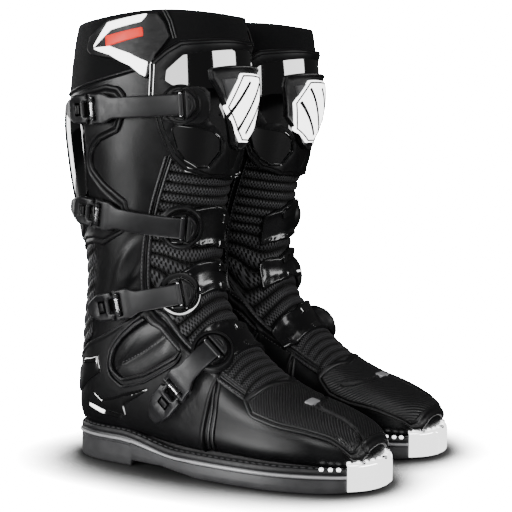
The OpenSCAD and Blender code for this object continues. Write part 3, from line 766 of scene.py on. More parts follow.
def make_gaiter():
    y0, y1 = np.interp(5.5, CHART_S, CHART_Y), np.interp(SHAFT_TOP, CHART_S, CHART_Y)
    pitch = 11.2
    j = np.linspace(-1, 1, 65)
    s = np.linspace(5.5, SHAFT_TOP, 90)
    ss = np.broadcast_to(s[:, None], (len(s), len(j)))
    at = skin(ss, (band_angle(s) + 2)[:, None] * j)
    front = skin(s, 0 * s)
    behind = at[..., 1] - front[:, None, 1]
    level = at[..., 2] - 0.14 * behind
    rows = np.interp(level, front[:, 2], np.interp(s, CHART_S, CHART_Y))
    w = smooth((ss - 6.0) / 4.6)
    rows = (1 - w) * (np.interp(ss, CHART_S, CHART_Y) - 4 * j**2) + w * rows
    rows = np.maximum.accumulate(rows + 0.01 * np.arange(len(s))[:, None], axis=0)
    knots = np.arange(y0 - 5, y1, pitch)[:, None] + pitch * np.array([0, 0.03, 0.09, 0.2, 0.35, 0.5, 0.65, 0.8, 0.91, 0.97])
    knots = knots.ravel()
    count = np.arange(len(knots))
    ss = np.stack([np.interp(knots, rows[:, i], s) for i in range(len(j))], 1)
    ss = ss + 0.0015 * (count[:, None] - (ss <= 5.5).sum(0)) * (ss <= 5.5)
    ss = ss + 0.0015 * (count[:, None] - (len(knots) - (ss >= SHAFT_TOP).sum(0))) * (ss >= SHAFT_TOP)
    yy = np.broadcast_to(knots[:, None], ss.shape)
    t = ((yy - knots[0]) / pitch) % 1
    big = np.sqrt(np.clip(1 - (2 * t - 1) ** 2, 0, 1))
    h = -1.6 + 3.6 * big
    h = h * smooth((1.02 - np.abs(j)) / 0.12) - 1.0
    verts, faces, uv = skin_grid(ss, (band_angle(ss) + 2) * j, h, -4.2)
    uv = np.tile(np.stack([np.broadcast_to(j * 66.0, yy.shape), yy - knots[0]], -1).reshape(-1, 2), (2, 1))
    new_piece("front_gaiter", verts, faces, "knit", "shaft", ["front_gaiter", "ankle_gaiter"], "stretch_mesh", uv,
              blend=True, sharp=60)
    # the tongue's lower end, sewn to the vamp
    s = np.linspace(4.5, 5.74, 40)
    y = np.interp(s, CHART_S, CHART_Y)
    ss = np.broadcast_to(s[:, None], (len(s), len(j)))
    t = ((y - y[0]) / 8.4) % 1
    h = 0.3 + 1.9 * np.sqrt(np.clip(1 - (2 * t - 1) ** 2, 0, 1))[:, None] * smooth((1.02 - np.abs(j)) / 0.1)
    verts, faces, uv = skin_grid(ss, (band_angle(ss) - 1) * j, h, -1.5)
    uv = np.stack(np.broadcast_arrays(j * 50.0, (y[:, None] - y[0]) * 11.2 / 8.4), -1).reshape(-1, 2)
    new_piece("tongue_end", verts, faces, "knit", "foot", (), "stretch_mesh", np.tile(uv, (2, 1)), sharp=60)
    for side, name in ((1, "outer"), (-1, "inner")):
        pts = [(p, side * q) for p, q in BAND]
        profile = [(-5.6, -0.4), (-5.3, 1.2), (-4.6, 2.1), (-3.4, 2.4), (-2.2, 2.0), (-1.5, 0.9), (-0.9, 0.5),
                   (-0.6, 1.3), (0, 1.6), (0.6, 1.3), (0.9, 0.5), (1.5, 0.9), (2.2, 2.0), (3.4, 2.4), (4.6, 2.1),
                   (5.3, 1.2), (5.6, -0.4)]
        verts, faces = band_on(pts, profile, low=-2)
        new_piece("edge_band_" + name, verts, faces, "leather_band", "shaft", (), "black_leather", blend=True)
        verts, faces = join_parts([stitches_on(pts, 2.4, shift=q, length=2.3, gap=1.3, radius=0.42)
                                   for q in (-3.4, 3.4)])
        new_piece("edge_stitches_" + name, verts, faces, "thread", "shaft", (), "black_leather", blend=True)
        seam = [(5.78, side * 58), (5.7, side * 64), (5.6, side * 88), (5.58, side * 110), (5.56, side * 136)]
        parts = [cord_on(seam, 0.7, 1.3, shift=q) for q in (-2.2, 2.2)]
        verts, faces = join_parts(parts)
        new_piece("vamp_seam_" + name, verts, faces, "leather_band", "foot", (), "black_leather")


def make_lining():
    s = np.linspace(5.7, 15.6, 70)
    j = np.linspace(0, 1, 73)
    for side, name in ((1, "outer"), (-1, "inner")):
        low = np.array([welt_angle(v, side) for v in s])
        low[s >= 8.6] = 180
        a = side * low[:, None] * j
        ss = np.broadcast_to(s[:, None], a.shape)
        x, y = a * np.interp(ss, CHART_S, CHART_K), np.interp(ss, CHART_S, CHART_Y)
        h = -4.9 + 0.5 * ripple(x, y, 31, 30)
        verts, faces, uv = skin_grid(ss, a, h, -6.0)
        new_piece("lining_" + name, verts, faces, "cloth", "shaft", (), "collar_fabric", uv, blend=True)


def collar_rise(s, a):
    """The top edge stands higher at the sides."""
    return (1.5 + 5 * np.exp(-((np.abs(a) - 68) / 42) ** 2)) * smooth((s - 15.3) / 0.65)


def make_collar():
    """Padded ring round the top: a rolled edge with soft folds."""
    a = np.linspace(-180, 180, 145)[:-1]
    rows = [(15.12, 0.2), (15.2, 0.7), (15.45, 0.9), (15.7, 0.9), (15.88, 0.7), (15.97, 0.0), (16.0, -1.3),
            (16.0, -3.2), (15.97, -4.9), (15.88, -6.2), (15.7, -6.9), (15.45, -7.2), (15.2, -7.0), (15.08, -6.0),
            (15.05, -3.0)]
    rings = []
    for s, h in rows:
        puff = 0.35 * ripple(a * 1.05, np.full(len(a), s * 27), 41, 30) + 0.5 * np.exp(-((s - 15.55) / 0.25) ** 2)
        ring = skin(np.full(len(a), s), a, h + (puff if h > -1 else -puff))
        ring[:, 2] += collar_rise(s, a)
        rings.append(ring)
    grid = np.array(rings)
    n = len(a)
    faces = grid_faces(len(rows), n, ring=True)
    faces += [(j, (len(rows) - 1) * n + j, (len(rows) - 1) * n + (j + 1) % n, (j + 1) % n) for j in range(n)]
    uv = np.array([[q * 1.05, s * 27 + h * 0.7] for s, h in rows for q in a])
    new_piece("collar", grid.reshape(-1, 3), faces, "collar_cloth", "shaft", ["collar"], "collar_fabric", uv)
    parts = [cord_on([(15.16, q) for q in range(-180, 181, 15)], 1.2, 1.0)]
    verts, faces = join_parts(parts)
    new_piece("collar_binding", verts, faces, "leather_band", "shaft", (), "collar_fabric")
    for side in (1, -1):
        parts = [cord_on([(15.97, side * 62), (15.74, side * 58), (15.5, side * 55)], 1.5, 0.7, shift=q, smooth=False)
                 for q in (-1.1, 1.1)]
        verts, faces = join_parts(parts)
        new_piece("collar_seam_" + ("outer" if side > 0 else "inner"), verts, faces, "leather_band", "shaft", (),
                  "collar_fabric")


# ---------------------------------------------------------------- closures
# Strap hinge pin, lever pin, way out of the boot, rise of the bow, bend of the lever, its length
CLOSURES = [
    ((-55, 11, 327), (-67, 96, 324), (-0.99, -0.14, -0.06), 7, 38, 37),
    ((-39.5, 20, 219), (-58, 98, 231), (-0.97, -0.2, -0.12), 8.5, 36, 37),
    ((-41.5, 22, 161), (-54, 80, 149), (-0.98, -0.2, 0.03), 4, 48, 35),
    ((-44.6, -13.8, 115.6), (-55, 19, 78), (-0.95, -0.15, 0.27), 6.5, 60, 40)]
BOSS_R = 14
YOKE_W = 27
WINDOW_AT = 17


class Closure:
    """Frame of one closure: x along the strap, y out of the boot, z along the pins."""

    def __init__(self, k):
        hinge, pin, n, self.bow, self.bend, self.lever = CLOSURES[k]
        self.h, r = np.array(hinge, float), np.array(pin, float)
        self.length = np.linalg.norm(r - self.h)
        self.u = (r - self.h) / self.length
        self.w = np.cross(self.u, n)
        self.w /= np.linalg.norm(self.w)
        self.n = np.cross(self.w, self.u)
        self.radius = (self.length**2 / 4 + self.bow**2) / (2 * self.bow)
        self.half = math.asin(self.length / 2 / self.radius)
        self.arc = 2 * self.half * self.radius

    def at(self, x, y, z):
        x, y, z = np.broadcast_arrays(*[np.asarray(v, float) for v in (x, y, z)])
        return self.h + x[..., None] * self.u + y[..., None] * self.n + z[..., None] * self.w

    def on_strap(self, x, z, h):
        """Along the bowed strap, across it, over its middle. It goes on straight past its ends."""
        x, z, h = np.broadcast_arrays(*[np.asarray(v, float) for v in (x, z, h)])
        a = np.clip(x / self.radius - self.half, -self.half, self.half)
        past = x - (a + self.half) * self.radius
        r = self.radius + h
        px = self.length / 2 + r * np.sin(a) + past * np.cos(a)
        py = self.bow - self.radius + r * np.cos(a) - past * np.sin(a)
        return self.at(px, py, z)

    def on_lever(self, x, z, h):
        a = np.clip(np.asarray(x, float) / self.bend, -0.02, 3)
        past = x - a * self.bend
        r = self.bend + h
        return self.at(self.length + r * np.sin(a) + past, r * np.cos(a) - self.bend, z)

    def on_boss(self, x, z, h):
        """In the boss, which is turned to the strap's angle at its hinge."""
        e = 2 * math.atan(2 * self.bow / self.length)
        c, s = math.cos(e), math.sin(e)
        x, z, h = np.broadcast_arrays(*[np.asarray(v, float) for v in (x, z, h)])
        return self.at(x * c - h * s, x * s + h * c, z)


def pin_mesh(c, x, y, reach, radius, sides=16, where=None):
    a = np.arange(sides) * 2 * math.pi / sides
    rows = [(-reach, radius - 0.35), (-reach + 0.35, radius), (-reach * 0.5, radius), (0, radius),
            (reach * 0.5, radius), (reach - 0.35, radius), (reach, radius - 0.35)]
    where = where or c.at
    verts = np.concatenate([where(x + r * np.cos(a), y + r * np.sin(a), np.full(sides, z)) if where == c.at
                            else where(x + r * np.cos(a), np.full(sides, z), y + r * np.sin(a)) for z, r in rows])
    n = len(verts)
    faces = grid_faces(len(rows), sides, ring=True) + [tuple(range(sides))[::-1], tuple(range(n - sides, n))]
    return verts, faces


def make_closure(k, body, node):
    c = Closure(k)
    L, half = c.arc, 9.5
    strap = f"strap_{k + 1}"
    # the strap, with its yoke open round the roller
    out = [(-2.4, -half), (L - 22, -half), (L - 13.5, -YOKE_W / 2), (L + 1.6, -YOKE_W / 2), (L + 1.6, -YOKE_W / 2 + 3.6),
           (L - 5.6, -YOKE_W / 2 + 3.6), (L - 5.6, YOKE_W / 2 - 3.6), (L + 1.6, YOKE_W / 2 - 3.6),
           (L + 1.6, YOKE_W / 2), (L - 13.5, YOKE_W / 2), (L - 22, half), (-2.4, half)]
    loop = resample(rounded(out, [0.8, 14, 6, 2.0, 0.8, 0.8, 0.8, 0.8, 2.0, 6, 14, 0.8]), 2.2)

    def top(d, x, y):
        thick = 1.5 + 0.9 * smooth((x - (L - 16)) / 6)
        crown = 0.35 * smooth(d / 5)
        return -0.6 + (thick + 0.6) * quarter(d, 0.9) + crown

    def under(d, x, y):
        return 0.3 - 1.8 * quarter(d, 0.8)

    verts, faces, uv = panel(loop, lambda x, y, h: c.on_strap(x, y, h), top, under, (), (3.2, 3.2), 0,
                             (0.35, 0.9, 1.8))
    knuckle = pin_mesh(c, 0.0, 0.0, half - 0.2, 2.7)
    body_mesh = [(verts, faces)]
    body_mesh.append(knuckle)
    for side in (-1, 1):
        z = side * (YOKE_W - 3.6) / 2
        a = np.arange(20) * 2 * math.pi / 20
        rows = [(z - 1.8, 2.7), (z - 1.5, 3.0), (z + 1.5, 3.0), (z + 1.8, 2.7)]
        v = np.concatenate([c.at(c.length + r * np.cos(a), r * np.sin(a), np.full(20, q)) for q, r in rows])
        body_mesh.append((v, grid_faces(4, 20, ring=True) + [tuple(range(20))[::-1], tuple(range(60, 80))]))
    verts, faces = join_parts(body_mesh)
    uv = np.concatenate([uv, np.zeros((len(verts) - len(uv), 2))])
    new_piece(strap, verts, faces, "strap", strap, [strap], "strap_tpu", uv)
    # steel roller with its collars, and the strap's hinge pin
    reach = YOKE_W / 2 - 3.6 - 3.4 - 0.5
    rows = [(-reach, 2.2), (-reach + 0.3, 2.9), (-reach + 1.6, 2.95), (-reach + 1.9, 2.35), (0, 2.35), (reach - 1.9, 2.35),
            (reach - 1.6, 2.95), (reach - 0.3, 2.9), (reach, 2.2)]
    a = np.arange(24) * 2 * math.pi / 24
    v = np.concatenate([c.at(c.length + r * np.cos(a), r * np.sin(a), np.full(24, q)) for q, r in rows])
    roller = (v, grid_faces(len(rows), 24, ring=True) + [tuple(range(24))[::-1],
                                                         tuple(range(len(v) - 24, len(v)))])
    pins = [roller, pin_mesh(c, 0.0, 0.0, half + 2.9, 1.45), pin_mesh(c, c.length, 0.0, YOKE_W / 2 - 0.3, 1.45)]
    verts, faces = join_parts(pins)
    new_piece(strap + "_roller", verts, faces, "steel", strap, (), "strap_tpu")
    # the lever
    n = c.lever
    rails = (YOKE_W - 7.8) / 2
    gap = rails - 3.2
    out = [(-2.6, -rails), (3.9, -rails), (4.6, -YOKE_W / 2 + 0.4), (n * 0.55, -YOKE_W / 2 + 0.7), (n * 0.86, -8),
           (n, -4.6), (n, 4.6), (n * 0.86, 8), (n * 0.55, YOKE_W / 2 - 0.7), (4.6, YOKE_W / 2 - 0.4), (3.9, rails),
           (-2.6, rails), (-2.6, gap), (8, gap), (8, -gap), (-2.6, -gap)]
    radii = [1.2, 0.5, 2, 6, 5, 3.5, 3.5, 5, 6, 2, 0.5, 1.2, 0.8, 1.6, 1.6, 0.8]
    loop = resample(rounded(out, radii), 1.9)
    window = resample(rounded([(WINDOW_AT - 4.3, -5.8), (WINDOW_AT + 4.3, -5.8), (WINDOW_AT + 4.3, 5.8),
                               (WINDOW_AT - 4.3, 5.8)], 1.2), 1.6)

    def lever_top(d, x, y):
        lip = 1.0 * smooth((x - n * 0.8) / (n * 0.2))
        return -0.4 + 2.5 * quarter(d, 1.1) + 0.35 * ridge(d, 2.0, 1.6) + lip

    verts, faces, uv = panel(loop, lambda x, y, h: c.on_lever(x, y, h), lever_top,
                             lambda d, x, y: 0.2 - 1.9 * quarter(d, 0.9), [window], (2.8, 2.8), 0, (0.35, 0.9, 1.6, 2.4))
    parts = [(verts, faces)]
    for side in (-1, 1):
        z = side * (rails - 1.6)
        a = np.arange(20) * 2 * math.pi / 20
        rows = [(z - 1.6, 3.0), (z - 1.3, 3.3), (z + 1.3, 3.3), (z + 1.6, 3.0)]
        v = np.concatenate([c.at(c.length + r * np.cos(a), r * np.sin(a), np.full(20, q)) for q, r in rows])
        parts.append((v, grid_faces(4, 20, ring=True) + [tuple(range(20))[::-1], tuple(range(60, 80))]))
    verts, faces = join_parts(parts)
    uv = np.concatenate([uv, np.zeros((len(verts) - len(uv), 2))])
    lever = f"lever_{k + 1}"
    new_piece(lever, verts, faces, "strap", lever, [lever], "strap_tpu", uv)
    # the boss: a raised ring round a D-shaped cap, with a slot for the strap
    axis = c.on_boss(0, 0, 1) - c.h
    sides = 48
    a = np.arange(sides) * 2 * math.pi / sides
    foot = []
    seat = np.array([c.h + (17.4 if k == 0 else 20.5) * (math.cos(t) * (c.on_boss(1, 0, 0) - c.h) + math.sin(t) * c.w) - axis * 6 for t in a])
    sa = on_leather(seat)
    base = skin(sa[:, 0], sa[:, 1], 5.8 if k == 0 else 3.8)
    rows = [base]
    section = [(19.6, -4.6, 0.5), (18.9, -3.2, 0.85), (18.0, -2.5, 1), (17.0, -2.3, 1), (16.2, -2.5, 1), (15.7, -3.2, 1),
               (15.4, -5.0, 1)]
    if k == 0:
        section = [(17.2, -3.4, 0.6), (16.8, -2.4, 1), (16.2, -2.0, 1), (15.7, -2.2, 1), (15.4, -3.0, 1), (15.2, -5.0, 1)]
    if k == 2:
        section = [(19.6, -4.2, 0.5), (19.3, -2.4, 0.85), (18.9, -1.7, 1), (18.6, -1.48, 1), (18.4, -1.5, 1),
                   (15.0, -1.95, 1), (14.7, -2.1, 1), (14.2, -2.7, 1), (14.2, -5.0, 1)]
    for r, h, t in section:
        p = c.on_boss(r * np.cos(a), r * np.sin(a), np.full(sides, float(h)))
        q = base + (p - base) * t
        rows.append(q if t < 1 else p)
    floor_ring = c.on_boss(13 * np.cos(a), 13 * np.sin(a), np.full(sides, -5.2))
    rows.append(floor_ring)
    deep = c.on_boss(12 * np.cos(a), 12 * np.sin(a), np.full(sides, -9.0))
    rows.append(deep)
    rim = np.array(rows)
    faces = grid_faces(len(rows), sides, ring=True)
    faces += [(j, (len(rows) - 1) * sides + j, (len(rows) - 1) * sides + (j + 1) % sides, (j + 1) % sides)
              for j in range(sides)]
    new_piece(f"boss_ring_{k + 1}", rim.reshape(-1, 3), faces, "gloss" if k == 2 else "tpu", node, (), "moulded_tpu")
    floor = lathe([(13.6, -6.5), (13.6, -4.4), (13.0, -3.9), (1, -3.9)], c.h, axis, 40)
    cap = []
    edge = [(13.4 * math.cos(t), 13.4 * math.sin(t)) for t in np.linspace(math.radians(106), math.radians(254), 24)]
    loop = resample(rounded(edge, [1.5] + [0] * 22 + [1.5]), 1.7)
    verts, faces, uv = panel(loop, lambda x, y, h: c.on_boss(x, y, h),
                             lambda d, x, y: -2 + 4.0 * quarter(d, 1.6) + 0.5 * smooth(d / 5) - 0.5 * ridge(d, 3.6, 1.2),
                             lambda d, x, y: np.full(len(d), -4.6), (), (2.4, 2.4), 0, (0.4, 1.0, 1.8, 3.0, 3.6, 4.2))
    cap.append((verts, faces))
    for side in (-1, 1):
        edge = [(x, side * z) for x, z in [(-2.6, 10.0), (8.6, 10.0), (6.4, 12.0), (2.6, 13.3), (-2.6, 13.3)]]
        loop = resample(rounded(edge, [0.3, 0.8, 2, 2, 0.5]), 1.5)
        verts, faces, uv = panel(loop, lambda x, y, h: c.on_boss(x, y, h),
                                 lambda d, x, y: -2 + 4.2 * quarter(d, 1.1), lambda d, x, y: np.full(len(d), -4.6), (),
                                 (1.6, 1.6), 0, (0.35, 0.9))
        cap.append((verts, faces))
    verts, faces = join_parts([floor] + cap)
    new_piece(f"boss_cap_{k + 1}", verts, faces, "tpu", node, (), "moulded_tpu")


def make_latch(k, node, low, cad):
    """Pad under a lever, with the post that stands in its rear window."""
    c = Closure(k)
    a = WINDOW_AT / c.bend
    mid = c.at(c.length + c.bend * math.sin(a), c.bend * math.cos(a) - c.bend - 8, 0)
    corners = []
    for x, z in ((5, -10.5), (26, -10.5), (29, 0), (26, 10.5), (5, 10.5)):
        t = x / c.bend
        corners.append(c.at(c.length + c.bend * math.sin(t), c.bend * math.cos(t) - c.bend - 8, z))
    sa = on_leather(np.array(corners))
    plate(f"latch_pad_{k + 1}", sa, "tpu", node, low, low + 2.2, cad, "moulded_tpu", radius=4, edge=1.0,
          shape=lambda d, x, y: -0.7 * smooth((d - 2.4) / 0.8), rings=(0.4, 1.0, 2.2, 3.2))
    post = [(-2.7, -4.2), (2.7, -4.2), (2.7, 4.2), (-2.7, 4.2)]
    loop = resample(rounded(post, 0.8), 1.4)

    def place(x, y, h):
        px = c.length + (c.bend + h) * math.sin(a) + x * math.cos(a)
        py = (c.bend + h) * math.cos(a) - c.bend - x * math.sin(a)
        return c.at(px, py, y)

    verts, faces, uv = panel(loop, place, lambda d, x, y: -0.6 + 1.6 * quarter(d, 0.9),
                             lambda d, x, y: np.full(len(d), -8.6), (), (1.8, 1.8), 0, (0.3, 0.8))
    new_piece(f"latch_post_{k + 1}", verts, faces, "tpu", node, (), "moulded_tpu", uv)


# ---------------------------------------------------------------- moulded parts of the foot
def make_toe_cover():
    outline = [(4.6, -10), (4.75, 20), (4.85, 42), (4.98, 58), (4.6, 72), (3.7, 70), (2.9, 69), (2.35, 70), (1.85, 84),
               (1.45, 106), (0.9, 100), (0.62, 70), (0.52, 35), (0.5, 0), (0.52, -35), (0.62, -70), (0.9, -102),
               (1.45, -108), (1.95, -90), (2.9, -80), (3.7, -80), (4.4, -78), (4.95, -62), (4.8, -38)]
    radius = [10, 20, 12, 5, 5, 30, 20, 20, 14, 3, 3, 10, 20, 20, 20, 10, 3, 3, 14, 20, 20, 8, 8, 14]
    loop = flat_outline(outline, radius, 2.0)
    groove = flat_line([(3.5, 8), (3.26, 16), (2.9, 17.5), (2.5, 18), (2.04, 24), (1.62, 32), (1.24, 43), (0.84, 66)], 1.0)
    other = flat_line([(4.1, -52), (3.75, -38), (3.5, -16), (3.5, 8)], 1.0)

    tab = chart([(3.55, 9)])[0]

    def near(line, x, y):
        best = np.full(len(x), 1e9)
        for q in line:
            best = np.minimum(best, (x - q[0]) ** 2 + (y - q[1]) ** 2)
        return np.sqrt(best)

    def shape(d, x, y):
        g = np.minimum(near(groove, x, y), near(other, x, y))
        seat = smooth((np.hypot(x - tab[0], (y - tab[1]) * 1.6) - 6) / 2)
        rim = 0.5 * ridge(d, 2.2, 3.4) - 0.7 * ridge(d, 4.8, 1.6) + 0.25 * ridge(d, 6.4, 1.4)
        front = smooth((40 - y) / 16) * smooth((x - 12) / 16)
        rim = rim + 0.7 * front * (ridge(d, 8.6, 1.8) + ridge(d, 11.2, 1.8) - ridge(d, 9.9, 1.0))
        cut = -1.7 * smooth((2.0 - g) / 1.0) + 0.55 * np.exp(-((g - 2.9) / 0.8) ** 2)
        return rim + cut * seat

    def ribbed(uv):
        """The ribs stop short of the rim and the groove."""
        g = np.minimum(near(groove, *uv.T), near(other, *uv.T))
        uv = np.array(uv)
        uv[(edge_distance(uv, [loop]) < 7) | (g < 3)] = 0
        return uv

    plate("toe_cover", loop, "toe_rubber", "foot", 0.8, 3.2, ["toe_cover"], "toe_rubber", edge=1.4, flat=True,
          shape=shape, spacing=(1.3, 1.3), rings=(0.4, 1.2, 2.2, 3.2, 4.0, 4.8, 5.6, 6.4, 7.2), sharp=60, pattern=ribbed)
    line = flat_line([(3.3, 12), (2.9, 13.5), (2.5, 14), (2.04, 20), (1.62, 28), (1.24, 39)], 1.5)
    verts, faces = tube_mesh(on_skin(line[:, 0], line[:, 1], np.full(len(line), 2.0)), 0.75)
    new_piece("toe_cover_line", verts, faces, "gloss", "foot", (), "toe_rubber")
    plate("toe_cover_tab", [(3.69, 0), (3.43, -1), (3.41, 18), (3.67, 19)], "sole_rim", "foot", 2.4, 4.4, (), "toe_rubber",
          radius=2, edge=0.8, rings=(0.3, 0.8))


def make_ankle_shell():
    opening = [(8.72, 73), (9.04, 83), (9.22, 93), (9.22, 101), (8.86, 107), (8.2, 108), (7.68, 99), (7.3, 85), (7.02, 73),
               (6.98, 65.5), (7.4, 67), (8.0, 70)]
    swoosh = [(9.2, 127), (8.5, 124), (7.95, 115), (7.2, 99), (7.75, 122), (7.6, 129), (8.15, 131)]
    upper = [(10.15, 133), (9.7, 115), (9.05, 113), (9.35, 126), (9.6, 150), (10.2, 150)]
    for side, name in ((1, "outer"), (-1, "inner")):
        s_low = np.linspace(5.72, 8.55, 12)
        low = [(v, side * (welt_angle(v, side) + 0)) for v in s_low]
        top = [(10.55, 179.4), (10.5, 150), (10.4, 128), (10.05, 108), (9.7, 92), (9.3, 77), (9.1, 70.5)]
        front = [(8.4, 68), (7.88, 65.5), (7.1, 62.5), (6.4, 58.5), (5.72, 54)]
        outline = low + [(8.7, side * 179.4), (9.6, side * 179.4)] + [(p, side * q) for p, q in top + front]
        radius = [2] + [8] * 11 + [2, 20, 3] + [25] * 5 + [6] + [20] * 4 + [2]
        fingers = [flat_line([(6.32, side * 105), (6.08, side * 85)], 1.2, False),
                   flat_line([(6.26, side * 110), (6.02, side * 92)], 1.2, False),
                   flat_line([(6.28, side * 120), (6.0, side * 106)], 1.2, False)]
        hole = flat_outline([(p, side * q) for p, q in opening], [3, 20, 14, 9, 9, 12, 20, 20, 9, 2, 20, 20], 2.0)

        def shape(d, x, y, fingers=fingers, hole=hole, side=side):
            dh = edge_distance(np.stack([x, y], 1), [hole])
            rim = 1.2 * smooth((9 - dh) / 4)
            f = np.full(len(x), 1e9)
            for line in fingers:
                for q in line:
                    f = np.minimum(f, (x - q[0]) ** 2 + (y - q[1]) ** 2)
            f = np.sqrt(f)
            s, a = unchart(x, y)
            edge_lip = 0.7 * ridge(edge_distance(np.stack([x, y], 1), [loop]), 2.0, 3.2)
            return rim - 0.5 * smooth((1.6 - f) / 1.2) + edge_lip

        loop = flat_outline(outline, radius, 2.6)
        verts, faces, uv = panel(loop, on_skin, lambda d, x, y, shape=shape: -0.4 + 3.0 * quarter(d, 1.5) + shape(d, x, y),
                                 lambda d, x, y: np.full(len(d), -1.6), [hole], (2.6, 2.6), 0,
                                 (0.4, 1.0, 1.9, 2.9, 3.9, 4.9, 5.9, 6.9))
        new_piece("ankle_shell_" + name, verts, faces, "tpu", "shaft", ["heel_cup"] if side > 0 else (), "moulded_tpu",
                  uv, blend=True)
        seam = [(8.56, side * 101), (7.76, side * 78)]
        verts, faces = stitches_on(seam, 0.9, smooth=False, length=2.2, gap=1.4, radius=0.4)
        new_piece("ankle_seam_" + name, verts, faces, "thread", "shaft", (), "black_leather", blend=True)
        rims = []
        for away, high, r in ((0.6, 3.4, 1.7), (4.2, 3.6, 1.2)):
            ring = resample(inset(hole, -away), 1.8)
            p, q = unchart(ring[:, 0], ring[:, 1])
            hidden = np.abs(q) < band_angle(p) + 4
            ring = np.roll(ring, -int(np.argmax(hidden & ~np.roll(hidden, -1))) - 1, axis=0)
            ring = ring[:int((~hidden).sum())]
            rims.append(tube_mesh(on_skin(ring[:, 0], ring[:, 1], np.full(len(ring), high)), r))
        verts, faces = join_parts(rims)
        new_piece("ankle_rim_" + name, verts, faces, "leather_band", "shaft", (), "moulded_tpu", blend=True)
        for title, pts, high in (("heel_swoosh", swoosh, 4.2), ("heel_flash", upper, 4.2)):
            plate(title + "_" + name, [(p, side * q) for p, q in pts], "gloss", "shaft", 0.6, high, (), "gloss_plastic",
                  radius=1.6, edge=2.2, rings=(0.4, 1.0, 2.0), blend=True,
                  shape=lambda d, x, y: 0.7 * smooth(d / 5))
        spine = [(8.9, side * 134), (8.3, side * 133), (7.75, side * 131)]
        verts, faces = band_on(spine, [(-2.6, 0.6), (-1.6, 2.6), (0, 4.4), (1.6, 2.8), (2.8, 0.6)], low=-0.5)
        new_piece("heel_wedge_" + name, verts, faces, "gloss", "foot", (), "gloss_plastic")


def strap_plate(name, outline, node, body, cad, notches, rings=(0.4, 1.0, 1.9, 3.0)):
    """A band over the instep or the shin with gloss pads let into its edges."""
    def shape(d, x, y):
        return 0.9 * ridge(d, 2.6, 3.8) - 0.5 * smooth((d - 4.5) / 4)

    plate(name, outline, "gloss_soft", body, 0.9, 4.3, cad, "moulded_tpu", radius=5, edge=1.8, shape=shape, rings=rings)
    for i, pts in enumerate(notches):
        plate(f"{name}_inlay_{i + 1}", pts, "gloss", body, 2.6, 5.6, (), "gloss_plastic", radius=1.6, edge=0.9,
              rings=(0.3, 0.9))


def make_strap_plates():
    strap_plate("upper_plate", [(11.36, 57), (10.88, 31), (10.62, 8), (10.42, -19), (10.6, -40), (9.4, -41), (8.9, -24),
                                (8.72, -6), (8.95, 12), (9.32, 28), (10.5, 55)], "upper_plate", "shaft", ["upper_plate"],
                [[(10.36, -2), (10.32, -18), (10.02, -17), (10.04, -2)], [(9.2, 4), (9.12, -10), (8.8, -9), (8.88, 5)]])
    strap_plate("lower_plate", [(9.55, 62), (8.98, 46), (8.3, 14), (8.02, -19), (8.66, -43), (7.5, -46), (7.3, -24),
                                (7.26, -5), (7.42, 33), (8.2, 60)], "lower_plate", "shaft", ["lower_plate"],
                [[(8.08, 2), (7.98, -15), (7.74, -14), (7.82, 2)], [(7.54, 4), (7.5, -10), (7.3, -10), (7.32, 4)]])
    strap_plate("instep_plate", [(6.8, 56), (6.74, 38), (6.58, 16), (6.42, -19), (6.55, -40), (6.6, -60), (6.0, -62),
                                 (5.76, -45), (5.72, -20), (5.7, 22), (5.74, 44), (6.3, 57)], "instep_plate", "foot",
                ["instep_plate"], [[(6.44, 4), (6.4, -12), (6.22, -11), (6.24, 4)],
                                   [(5.92, 6), (5.9, -10), (5.74, -10), (5.74, 6)]])


